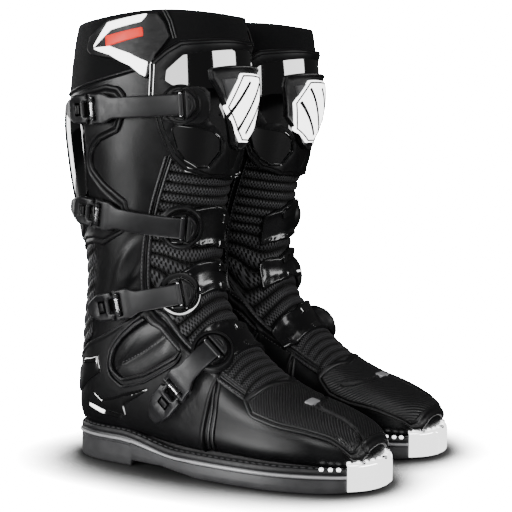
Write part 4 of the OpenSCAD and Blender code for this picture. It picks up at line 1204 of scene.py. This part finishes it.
# ---------------------------------------------------------------- moulded parts of the shaft
def make_shin():
    border = [(15.46, 52), (15.36, 61), (15.2, 70), (14.5, 71.5), (13.64, 67), (12.8, 60), (12.24, 50), (11.66, 29),
              (11.36, 0), (11.66, -29), (12.24, -50), (12.8, -60), (13.64, -66), (14.5, -69), (15.2, -68), (15.36, -60),
              (15.46, -50), (15.42, 0)]
    radius = [6, 4, 6, 10, 20, 20, 12, 12, 20, 12, 12, 20, 20, 10, 6, 4, 6, 40]
    plate("shin_plate", border, "gloss", "shaft", 0.9, 3.6, ["shin_plate"], "gloss_plastic", radius=radius, edge=1.6,
          spacing=(4, 4))
    area = [(15.22, 50), (15.0, 60), (14.78, 61), (14.62, 57), (14.46, 46), (14.33, 38), (14.12, 34), (13.72, 33.5),
            (13.46, 35), (13.3, 34), (13.04, 28), (12.52, 16), (12.2, 9), (11.72, 3), (11.72, -3), (12.2, -9), (12.52, -16),
            (13.04, -28), (13.3, -35), (13.5, -46), (14.3, -56), (14.8, -61), (15.0, -60), (15.22, -48)]
    window = [(13.62, 59), (12.98, 32), (12.62, 22), (12.3, 20.5), (12.02, 30), (12.2, 40), (12.6, 50), (12.95, 55)]
    inner = [(p, -q) for p, q in window]
    plate("shin_frame", border, "tpu", "shaft", 3.0, 5.3, (), "moulded_tpu", radius=radius, edge=1.2,
          holes=[area, window, inner], hole_radius=3.0, under=1.0,
          shape=lambda d, x, y: -0.5 * ridge(d, 3.0, 1.6))
    for i, (d, r) in enumerate(((1.5, 0.7), (4.4, 0.7))):
        loop = inset(resample(rounded(chart(border), radius), 2.4), d)
        loop = np.concatenate([loop, loop[:1]])
        verts, faces = tube_mesh(on_skin(loop[:, 0], loop[:, 1], np.full(len(loop), 5.3)), r)
        new_piece(f"shin_piping_{i + 1}", verts, faces, "gloss", "shaft", (), "gloss_plastic")
    pad = [(14.5, 50), (14.4, 42), (14.2, 37), (13.82, 34), (13.42, 34.5), (13.3, 40), (13.46, 50), (13.8, 64), (14.3, 64)]
    plate("shin_pad", pad, "tpu", "shaft", 3.4, 6.2, (), "moulded_tpu", radius=5, edge=1.4,
          shape=lambda d, x, y: 0.4 * ridge(d, 1.6, 2.0), rings=(0.4, 1.0, 1.6, 2.4))
    rim = resample(rounded(chart(window), 3.0), 2.2)
    for side, name in ((1, "outer"), (-1, "inner")):
        loop = rim * [side, 1]
        loop = inset(loop, -0.9)
        loop = np.concatenate([loop, loop[:1]])
        verts, faces = tube_mesh(on_skin(loop[:, 0], loop[:, 1], np.full(len(loop), 5.2)), 0.7)
        new_piece("shin_window_rim_" + name, verts, faces, "gloss", "shaft", (), "gloss_plastic")
    # badge
    plate("shin_badge_base", [(14.84, 35), (14.84, -33), (14.5, -35), (13.5, -33), (12.5, -14), (12.26, -4), (12.26, 4),
                              (12.45, 10), (14.5, 34)], "tpu", "shaft", 3.6, 8.4, ["shin_badge"], "badge_plastic",
          radius=3, edge=1.8, shape=lambda d, x, y: 0.8 * ridge(d, 1.5, 2.2) - 0.5 * smooth((d - 2.6) / 0.8),
          rings=(0.4, 1.0, 1.8, 2.6, 3.4))
    hexagon = [(14.58, 12), (14.58, -14), (13.9, -28), (13.0, -25), (12.5, -8), (12.5, 4), (12.8, 12), (13.62, 25)]
    plate("shin_badge_face", hexagon, "white", "shaft", 7.0, 10.2, (), "badge_plastic", radius=3, edge=1.3,
          shape=lambda d, x, y: 0.5 * smooth(d / 12), rings=(0.4, 1.0, 1.8))
    strokes = []
    for pts in ([(14.3, 3), (13.3, 23)], [(14.3, -13), (12.85, 11)], [(13.9, -22), (12.75, 0)]):
        strokes.append(band_on(pts, [(-1.9, 10.3), (-1.4, 11.1), (1.4, 11.1), (1.9, 10.3)], low=9.4, smooth=False))
    ring = inset(flat_outline(hexagon, 3.0, 2.4), 3.0)
    ring = np.concatenate([ring, ring[:1]])
    strokes.append(tube_mesh(on_skin(ring[:, 0], ring[:, 1], np.full(len(ring), 10.4)), 0.75))
    verts, faces = join_parts(strokes)
    new_piece("shin_badge_strokes", verts, faces, "tpu", "shaft", (), "badge_plastic")
    for side, name in ((1, "outer"), (-1, "inner")):
        plate("shin_triangle_" + name, [(14.46, side * 27), (14.46, side * 13), (13.85, side * 23)], "grey", "shaft",
              6.6, 8.9, (), "badge_plastic", radius=1, edge=0.8, rings=(0.3, 0.8))


def make_collar_panel():
    for side, name in ((1, "outer"), (-1, "inner")):
        outline = [(15.9, 66), (15.72, 61), (15.52, 57.5), (15.3, 66), (14.9, 71.5), (15.04, 76), (15.2, 81), (15.38, 96),
                   (15.48, 113), (15.56, 118), (15.7, 116), (15.9, 100)]

        def shape(d, x, y, side=side):
            s, a = unchart(x, y)
            bars = 0.35 * smooth((np.sin((y + side * x * 0.12) * 2 * math.pi / 4.2) - 0.2) / 0.4)
            zone = smooth((88 - np.abs(a)) / 5) * smooth((d - 2.5) / 1.0) * smooth((15.66 - s) / 0.05)
            return bars * zone + 0.45 * ridge(d, 1.2, 2.2)

        plate("collar_panel_" + name, [(p, side * q) for p, q in outline], "tpu", "shaft", 1.3, 3.4,
              ["collar_panel"] if side > 0 else (), "panel_tpu", radius=3, edge=1.2, shape=shape, spacing=(2.0, 1.6),
              rings=(0.4, 1.0, 1.8))
        top = [(15.84, 100), (15.89, 71), (15.76, 76), (15.72, 97), (15.52, 113)]
        low = [(15.56, 113), (15.53, 97), (15.4, 83), (15.22, 71), (14.97, 72.5), (15.06, 76), (15.22, 82), (15.43, 97)]
        for title, pts in (("upper", top), ("lower", low)):
            plate(f"collar_flash_{title}_{name}", [(p, side * q) for p, q in pts], "white", "shaft", 2.9, 4.4, (),
                  "badge_plastic", radius=1.0, edge=0.7, rings=(0.3, 0.8))
        plate("collar_bar_" + name, [(15.66, side * 101), (15.69, side * 75), (15.57, side * 74), (15.53, side * 100)], "red",
              "shaft", 2.9, 4.3, (), "badge_plastic", radius=1.5, edge=0.7, rings=(0.3, 0.8))


def make_calf():
    half = [(15.08, 116), (15.06, 99), (14.95, 90), (14.76, 86), (14.3, 88.5), (14.03, 93), (14.05, 107), (13.98, 114),
            (13.74, 117.5), (13.3, 109), (13.0, 102), (12.6, 93), (12.2, 91), (11.92, 95), (12.02, 106), (12.1, 116),
            (12.35, 128), (12.5, 140), (12.55, 179.5)]
    for side, name in ((1, "outer"), (-1, "inner")):
        outline = [(p, side * q) for p, q in half] + [(15.08, side * 179.5)]
        radius = [3, 8, 8, 6, 10, 6, 5, 6, 10, 16, 16, 8, 6, 5, 6, 10, 10, 16, 2, 2]
        plate("calf_panel_" + name, outline, "tpu", "shaft", 0.5, 2.6, (), "panel_tpu", radius=radius, edge=1.2,
              shape=lambda d, x, y: 0.6 * ridge(d, 1.8, 3.0) - 0.7 * ridge(d, 4.2, 1.4) + 0.35 * ridge(d, 5.8, 1.8),
              rings=(0.4, 1.0, 1.9, 2.8, 3.5, 4.2, 4.9, 5.8, 6.7))
    guard = [(15.05, 122), (14.4, 119), (13.7, 121), (13.1, 127), (12.75, 140), (12.7, 180), (12.75, 220), (13.1, 233),
             (13.7, 239), (14.4, 241), (15.05, 238), (15.05, 180)]
    plate("calf_guard", guard, "gloss", "shaft", 1.6, 4.6, ["calf_guard"], "gloss_plastic",
          radius=[5, 20, 20, 16, 14, 40, 14, 16, 20, 20, 5, 60], edge=1.8, spacing=(4, 4),
          shape=lambda d, x, y: 0.8 * smooth(d / 14))
    # padded ribs over the Achilles tendon
    y0, y1 = np.interp(10.5, CHART_S, CHART_Y), np.interp(12.6, CHART_S, CHART_Y)
    y = np.linspace(y0, y1, 96)
    j = np.linspace(-1, 1, 49)
    s = np.interp(y, CHART_Y, CHART_S)[:, None] * np.ones(len(j))
    a = 180 + 52 * j[None, :] * np.ones((len(y), 1))
    t = ((y[:, None] + 3 * np.abs(j)[None, :] ** 2 - y0) / 9.6) % 1
    h = 0.2 + 2.3 * np.sqrt(np.clip(1 - (2 * t - 1) ** 2, 0, 1)) * smooth((1.01 - np.abs(j)) / 0.15)
    verts, faces, uv = skin_grid(s, a, h, -1.5)
    uv[:, 1] = np.tile((y[:, None] + 3 * np.abs(j)[None, :] ** 2 - y0).ravel() * 7.8 / 9.6, 2)
    new_piece("achilles_ribs", verts, faces, "knit", "shaft", (), "stretch_mesh", uv, blend=True, sharp=60)


make_sole()
make_welt()
make_footbed()
make_toe_guard()
make_vamp()
make_side_leather()
make_gaiter()
make_lining()
make_collar()
make_toe_cover()
make_ankle_shell()
make_strap_plates()
make_shin()
make_collar_panel()
make_calf()
for number, (body, node) in enumerate((("shaft", "shin_plate"), ("shaft", "upper_plate"), ("shaft", "lower_plate"),
                                       ("foot", "instep_plate"))):
    make_closure(number, body, body)
make_latch(0, "shaft", 4.6, ["shaft_latches"])
make_latch(1, "shaft", 2.4, ())
make_latch(2, "shaft", 1.2, ())
make_latch(3, "foot", 1.6, ["foot_latch"])


# ---------------------------------------------------------------- materials
def socket(node, name, value):
    node.inputs[name].default_value = value


class Finish:
    """A principled material with its coordinates on the object, in metres, or on its chart."""

    def __init__(self, name, colour, roughness, metallic=0.0, coat=0.0, coat_roughness=0.05, sheen=0.0, specular=0.5):
        self.m = bpy.data.materials.new(name)
        self.m.use_nodes = True
        self.nodes, self.links = self.m.node_tree.nodes, self.m.node_tree.links
        self.shader = self.nodes["Principled BSDF"]
        socket(self.shader, "Base Color", (*colour, 1))
        socket(self.shader, "Roughness", roughness)
        socket(self.shader, "Metallic", metallic)
        socket(self.shader, "Coat Weight", coat)
        socket(self.shader, "Coat Roughness", coat_roughness)
        socket(self.shader, "Sheen Weight", sheen)
        socket(self.shader, "Specular IOR Level", specular)
        self.where = self.nodes.new("ShaderNodeTexCoord")
        self.bump_in = None

    def noise(self, scale, detail=3.0, on="Object"):
        n = self.nodes.new("ShaderNodeTexNoise")
        socket(n, "Scale", scale)
        socket(n, "Detail", detail)
        self.links.new(self.where.outputs[on], n.inputs["Vector"])
        return n.outputs["Fac"]

    def cells(self, scale, on="Object", feature="F1", randomness=1.0, turn=0):
        n = self.nodes.new("ShaderNodeTexVoronoi")
        n.feature = feature
        socket(n, "Scale", scale)
        socket(n, "Randomness", randomness)
        turned = self.nodes.new("ShaderNodeMapping")
        socket(turned, "Rotation", (0, 0, math.radians(turn)))
        self.links.new(self.where.outputs[on], turned.inputs["Vector"])
        self.links.new(turned.outputs["Vector"], n.inputs["Vector"])
        return n.outputs["Distance"]

    def waves(self, scale, axis, on="UV", distortion=0.0, turn=0):
        n = self.nodes.new("ShaderNodeTexWave")
        n.bands_direction = axis
        socket(n, "Scale", scale)
        socket(n, "Distortion", distortion)
        turned = self.nodes.new("ShaderNodeMapping")
        socket(turned, "Rotation", (0, 0, math.radians(turn)))
        self.links.new(self.where.outputs[on], turned.inputs["Vector"])
        self.links.new(turned.outputs["Vector"], n.inputs["Vector"])
        return n.outputs["Fac"]

    def ramp(self, value, low, high, stops=(0.3, 0.7)):
        n = self.nodes.new("ShaderNodeMapRange")
        for name, v in zip(("From Min", "From Max", "To Min", "To Max"), (*stops, low, high)):
            socket(n, name, v)
        self.links.new(value, n.inputs["Value"])
        return n.outputs["Result"]

    def maths(self, kind, a, b=None):
        n = self.nodes.new("ShaderNodeMath")
        n.operation = kind
        for i, v in enumerate((a, b)):
            if v is None:
                continue
            if isinstance(v, (int, float)):
                n.inputs[i].default_value = v
            else:
                self.links.new(v, n.inputs[i])
        return n.outputs["Value"]

    def blend(self, factor, first, second):
        n = self.nodes.new("ShaderNodeMix")
        for i, v in ((0, factor), (2, first), (3, second)):
            self.links.new(v, n.inputs[i])
        return n.outputs[0]

    def colours(self, value, first, second, stops=(0.3, 0.7)):
        n = self.nodes.new("ShaderNodeValToRGB")
        n.color_ramp.elements[0].position, n.color_ramp.elements[1].position = stops
        n.color_ramp.elements[0].color = (*first, 1)
        n.color_ramp.elements[1].color = (*second, 1)
        self.links.new(value, n.inputs["Fac"])
        self.links.new(n.outputs["Color"], self.shader.inputs["Base Color"])

    def bump(self, value, strength, distance):
        n = self.nodes.new("ShaderNodeBump")
        socket(n, "Strength", strength)
        socket(n, "Distance", distance)
        self.links.new(value, n.inputs["Height"])
        if self.bump_in:
            self.links.new(self.bump_in, n.inputs["Normal"])
        self.bump_in = n.outputs["Normal"]
        self.links.new(self.bump_in, self.shader.inputs["Normal"])

    def rough(self, value):
        self.links.new(value, self.shader.inputs["Roughness"])


def make_finishes():
    f = {}
    m = Finish("black_leather", (0.003, 0.003, 0.0035), 0.34, specular=0.36)
    m.rough(m.ramp(m.noise(60), 0.30, 0.38))
    m.colours(m.noise(35), (0.003, 0.003, 0.0035), (0.006, 0.006, 0.0065))
    m.bump(m.cells(1500, randomness=0.9), 0.22, 0.0002)
    m.bump(m.noise(90), 0.15, 0.0006)
    f["leather"] = m.m
    m = Finish("edged_leather", (0.005, 0.005, 0.0055), 0.38, specular=0.55)
    m.rough(m.ramp(m.noise(80), 0.32, 0.44))
    m.colours(m.noise(60), (0.004, 0.004, 0.0045), (0.010, 0.010, 0.011))
    m.bump(m.cells(1100), 0.35, 0.0003)
    f["leather_band"] = m.m
    m = Finish("satin_moulding", (0.004, 0.004, 0.0045), 0.38, specular=0.3)
    m.rough(m.ramp(m.noise(200), 0.37, 0.46))
    m.colours(m.noise(40), (0.004, 0.004, 0.0045), (0.007, 0.007, 0.0075))
    m.bump(m.noise(2600, 2), 0.16, 0.00012)
    f["tpu"] = m.m
    m = Finish("strap_moulding", (0.009, 0.009, 0.010), 0.4, specular=0.42)
    m.rough(m.ramp(m.noise(180), 0.34, 0.44))
    m.colours(m.noise(50), (0.008, 0.008, 0.009), (0.011, 0.011, 0.012))
    m.bump(m.noise(2400, 2), 0.12, 0.0001)
    f["strap"] = m.m
    m = Finish("gloss_moulding", (0.0015, 0.0015, 0.0018), 0.05, coat=1.0, coat_roughness=0.02, specular=1.0)
    socket(m.shader, "Coat IOR", 2.1)
    m.rough(m.ramp(m.noise(120), 0.03, 0.07))
    m.bump(m.noise(14, 1), 0.06, 0.001)
    f["gloss"] = m.m
    m = Finish("half_gloss_moulding", (0.006, 0.006, 0.0065), 0.2, coat=0.5, coat_roughness=0.1)
    m.rough(m.ramp(m.noise(150), 0.16, 0.26))
    m.bump(m.noise(900, 2), 0.08, 0.0001)
    f["gloss_soft"] = m.m
    m = Finish("toe_rubber", (0.006, 0.006, 0.0065), 0.5, specular=0.55)
    m.rough(m.ramp(m.noise(220), 0.36, 0.5))
    ribs_and_painted_shade = m.waves(13.1, "X", turn=-51.5)
    # Painted shade: the same waves that raise the ribs also colour the grooves darker and the crests lighter, so the
    # ribs show in shade.
    m.colours(ribs_and_painted_shade, (0.003, 0.003, 0.0035), (0.020, 0.020, 0.021), (0.2, 0.8))
    m.bump(ribs_and_painted_shade, 0.8, 0.0005)
    f["toe_rubber"] = m.m
    m = Finish("knitted_mesh", (0.010, 0.010, 0.012), 0.7, sheen=0.05, specular=0.3)
    across = m.ramp(m.waves(10.0, "X"), -1.0, 1.0, (0, 1))
    down = m.ramp(m.waves(5.61, "Y"), -1.0, 1.0, (0, 1))
    holes = m.maths("MULTIPLY", across, down)
    # Painted light: the threads are coloured lighter along each padded row's crest and darker in the valleys between
    # rows, at the rows' own pitch.
    painted_row_light = m.ramp(m.waves(2.805, "Y"), 0.0, 1.0, (0.05, 0.6))
    threads_with_painted_light = m.maths("MULTIPLY", m.ramp(holes, 1.0, 0.0, (-0.1, 0.25)), painted_row_light)
    m.colours(threads_with_painted_light, (0.0002, 0.0002, 0.0002), (0.055, 0.055, 0.058), (0.0, 1.0))
    m.rough(m.ramp(holes, 0.42, 0.95, (0.0, 0.5)))
    m.bump(m.ramp(holes, 1.0, 0.0, (0.0, 0.5)), 1.0, 0.0010)
    f["knit"] = m.m
    m = Finish("woven_lining", (0.010, 0.010, 0.011), 0.9, sheen=0.2, specular=0.2)
    weave = m.maths("MULTIPLY", m.waves(26, "X"), m.waves(26, "Y"))
    m.colours(weave, (0.006, 0.006, 0.007), (0.018, 0.018, 0.020))
    m.bump(weave, 0.5, 0.0004)
    f["cloth"] = m.m
    m = Finish("collar_cloth", (0.003, 0.003, 0.0035), 0.85, sheen=0.04, specular=0.2)
    weave = m.maths("MULTIPLY", m.waves(110, "X"), m.waves(110, "Y"))
    m.colours(weave, (0.002, 0.002, 0.0025), (0.006, 0.006, 0.0065))
    m.bump(weave, 0.45, 0.0003)
    f["collar_cloth"] = m.m
    m = Finish("grey_sole_rubber", (0.055, 0.055, 0.057), 0.38, coat=0.3, coat_roughness=0.3)
    m.colours(m.noise(30), (0.046, 0.046, 0.048), (0.072, 0.072, 0.075))
    m.rough(m.ramp(m.noise(120), 0.32, 0.48))
    m.bump(m.noise(400), 0.12, 0.0003)
    f["sole"] = m.m
    m = Finish("pale_rim_rubber", (0.42, 0.42, 0.43), 0.3, coat=0.4, coat_roughness=0.2)
    m.colours(m.noise(50), (0.34, 0.34, 0.35), (0.48, 0.48, 0.49))
    m.rough(m.ramp(m.noise(120), 0.25, 0.4))
    f["sole_rim"] = m.m
    m = Finish("welt_rubber", (0.008, 0.008, 0.009), 0.5)
    m.rough(m.ramp(m.noise(160), 0.42, 0.6))
    m.bump(m.noise(700), 0.4, 0.0005)
    f["welt"] = m.m
    m = Finish("waxed_thread", (0.075, 0.075, 0.078), 0.45)
    m.rough(m.ramp(m.noise(500), 0.45, 0.65))
    m.bump(m.noise(2500), 0.5, 0.0003)
    f["thread"] = m.m
    m = Finish("polished_metal_painted_glow", (0.90, 0.90, 0.91), 0.09, metallic=1.0)
    # Painted glow: the toe guard's metal glows white of its own, which lifts its dark reflections towards white.
    socket(m.shader, "Emission Color", (1, 1, 1, 1))
    socket(m.shader, "Emission Strength", 2.4)
    m.rough(m.ramp(m.noise(70), 0.06, 0.16))
    m.bump(m.noise(40, 2), 0.08, 0.001)
    f["chrome"] = m.m
    m = Finish("bright_steel", (0.62, 0.62, 0.63), 0.24, metallic=1.0)
    m.rough(m.ramp(m.noise(300), 0.18, 0.32))
    m.bump(m.noise(900), 0.1, 0.0001)
    f["steel"] = m.m
    m = Finish("white_plastic_painted_glow", (0.92, 0.92, 0.92), 0.34)
    # Painted glow: the white plastic glows of its own so that it reads pure white, brighter than its lamps make it.
    socket(m.shader, "Emission Color", (1, 1, 1, 1))
    socket(m.shader, "Emission Strength", 4.0)
    m.rough(m.ramp(m.noise(150), 0.28, 0.4))
    m.bump(m.noise(1500), 0.06, 0.0001)
    f["white"] = m.m
    m = Finish("grey_plastic", (0.06, 0.06, 0.062), 0.4)
    m.rough(m.ramp(m.noise(150), 0.34, 0.46))
    m.bump(m.noise(1800), 0.1, 0.0001)
    f["grey"] = m.m
    m = Finish("red_plastic_painted_glow", (0.80, 0.03, 0.015), 0.35, specular=0.2)
    # Painted glow: the red plastic glows faintly red of its own, brighter than its lamps make it.
    socket(m.shader, "Emission Color", (1.0, 0.03, 0.015, 1))
    socket(m.shader, "Emission Strength", 0.6)
    m.rough(m.ramp(m.noise(150), 0.3, 0.42))
    m.bump(m.noise(1500), 0.06, 0.0001)
    f["red"] = m.m
    return f


FINISH = make_finishes()


# ---------------------------------------------------------------- both boots
def place_piece(piece, side):
    sign = 1 if side == "right" else -1
    v = piece["verts"] + [-BOOT_SPACING / 2, MIDDLE_Y, 0]
    v = v * [sign, 1, 1] * MM
    faces = piece["faces"] if sign > 0 else [f[::-1] for f in piece["faces"]]
    mesh = bpy.data.meshes.new(f"{side}_{piece['name']}")
    mesh.from_pydata(v.tolist(), [], faces)
    if piece["uvs"] is not None:
        layer = mesh.uv_layers.new(name="chart")
        at = np.zeros(len(mesh.loops), int)
        mesh.loops.foreach_get("vertex_index", at)
        layer.data.foreach_set("uv", (np.asarray(piece["uvs"])[at] * 0.01).astype(np.float32).ravel())
    mesh.validate()
    mesh.polygons.foreach_set("use_smooth", np.ones(len(mesh.polygons), bool))
    mesh.set_sharp_from_angle(angle=math.radians(piece["sharp"]))
    obj = bpy.data.objects.new(mesh.name, mesh)
    bpy.context.scene.collection.objects.link(obj)
    mesh.materials.append(FINISH[piece["material"]])
    if piece["blend"]:
        y, z = (PIVOT[0] + MIDDLE_Y) * MM, 1
        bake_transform(obj)
    else:
        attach(obj, f"{side}_{piece['body']}")
    if piece["cad"]:
        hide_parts(*[f"{side}_{n}" for n in piece["cad"]])
    return obj


for piece in MADE:
    piece["faces"] = right_way_out(piece["verts"], piece["faces"])
for side in SIDES:
    for piece in MADE:
        made = place_piece(piece, side)

# ---------------------------------------------------------------- studio
scene = bpy.context.scene
world = bpy.data.worlds.new("studio")
scene.world = world
world.use_nodes = True
nodes, links = world.node_tree.nodes, world.node_tree.links
back = nodes["Background"]
back.inputs["Color"].default_value = (1, 1, 1, 1)
path = nodes.new("ShaderNodeLightPath")
level = nodes.new("ShaderNodeMapRange")
level.inputs["To Min"].default_value, level.inputs["To Max"].default_value = 0.04, 60.0
links.new(path.outputs["Is Camera Ray"], level.inputs["Value"])
links.new(level.outputs["Result"], back.inputs["Strength"])

floor_mesh = bpy.data.meshes.new("floor")
floor_mesh.from_pydata([(-6, -6, 0), (6, -6, 0), (6, 6, 0), (-6, 6, 0)], [], [(0, 1, 2, 3)])
floor = bpy.data.objects.new("floor", floor_mesh)
floor.location.z = -0.0004
scene.collection.objects.link(floor)
pale = Finish("pale_floor", (0.05, 0.05, 0.05), 0.7, specular=0.1)
pale.rough(pale.ramp(pale.noise(2), 0.65, 0.75))
socket(pale.shader, "Emission Color", (1, 1, 1, 1))
# The floor is dark to lit rays and glows white to the camera only. Its contact shadow is painted: ambient occlusion
# darkens that glow under and beside the boots. A glowing patch beside the near boot, unseen by the camera, acts as a
# hidden lamp for a soft highlight on the vamp.
seen = pale.nodes.new("ShaderNodeLightPath")
contact = pale.nodes.new("ShaderNodeAmbientOcclusion")
contact.samples = 24
socket(contact, "Distance", 0.1)
painted_contact_shadow = pale.maths("POWER", contact.outputs["AO"], 14.0)
far = pale.nodes.new("ShaderNodeVectorMath")
far.operation = "LENGTH"
pale.links.new(pale.where.outputs["Object"], far.inputs[0])
shifted = pale.nodes.new("ShaderNodeVectorMath")
shifted.inputs[1].default_value = (0.24, 0.0, 0)
pale.links.new(pale.where.outputs["Object"], shifted.inputs[0])
pale.links.new(shifted.outputs["Vector"], far.inputs[0])
near = pale.ramp(far.outputs["Value"], 9.0, 0.0, (0.03, 0.10))
glow = pale.maths("MULTIPLY", painted_contact_shadow, 40.0)
pale.links.new(pale.blend(seen.outputs["Is Camera Ray"], near, glow), pale.shader.inputs["Emission Strength"])
floor_mesh.materials.append(pale.m)


def softbox(name, where, target, size, power):
    light = bpy.data.lights.new(name, "AREA")
    light.shape = "RECTANGLE"
    light.size, light.size_y = size
    light.energy = power
    obj = bpy.data.objects.new(name, light)
    obj.location = where
    obj.rotation_euler = (Vector(target) - Vector(where)).to_track_quat("-Z", "Y").to_euler()
    scene.collection.objects.link(obj)
    return obj


softbox("key", (-0.9, -1.7, 1.7), (0, 0, 0.2), (0.6, 0.7), 6)
softbox("side", (-1.66, 1.05, 0.5), (0, 0.03, 0.24), (0.4, 1.0), 24)
softbox("crescent", (-1.93, 0.56, 0.4), (0, 0, 0.2), (0.2, 0.5), 4)
softbox("lens_side", (-2.0, -0.66, 0.6), (0, 0, 0.3), (0.9, 0.7), 15)
softbox("front", (0.1, -2.0, 0.66), (0, 0, 0.3), (1.9, 0.3), 17)
softbox("top", (-0.1, -0.1, 2.0), (0, 0, 0.1), (0.9, 0.9), 5)
softbox("rear", (0.45, 2.0, 0.45), (0, 0, 0.25), (0.5, 0.9), 10)

camera = bpy.data.cameras.new("camera")
camera.lens, camera.sensor_width = 89.69, 36
camera.clip_start, camera.clip_end = 0.05, 50
view = bpy.data.objects.new("camera", camera)
view.location = (-1.0579, -0.5793 + MIDDLE_Y * MM, 0.2925)
view.rotation_euler = (math.radians(90 - 4.98), 0, math.radians(-61.09))
scene.collection.objects.link(view)
scene.camera = view
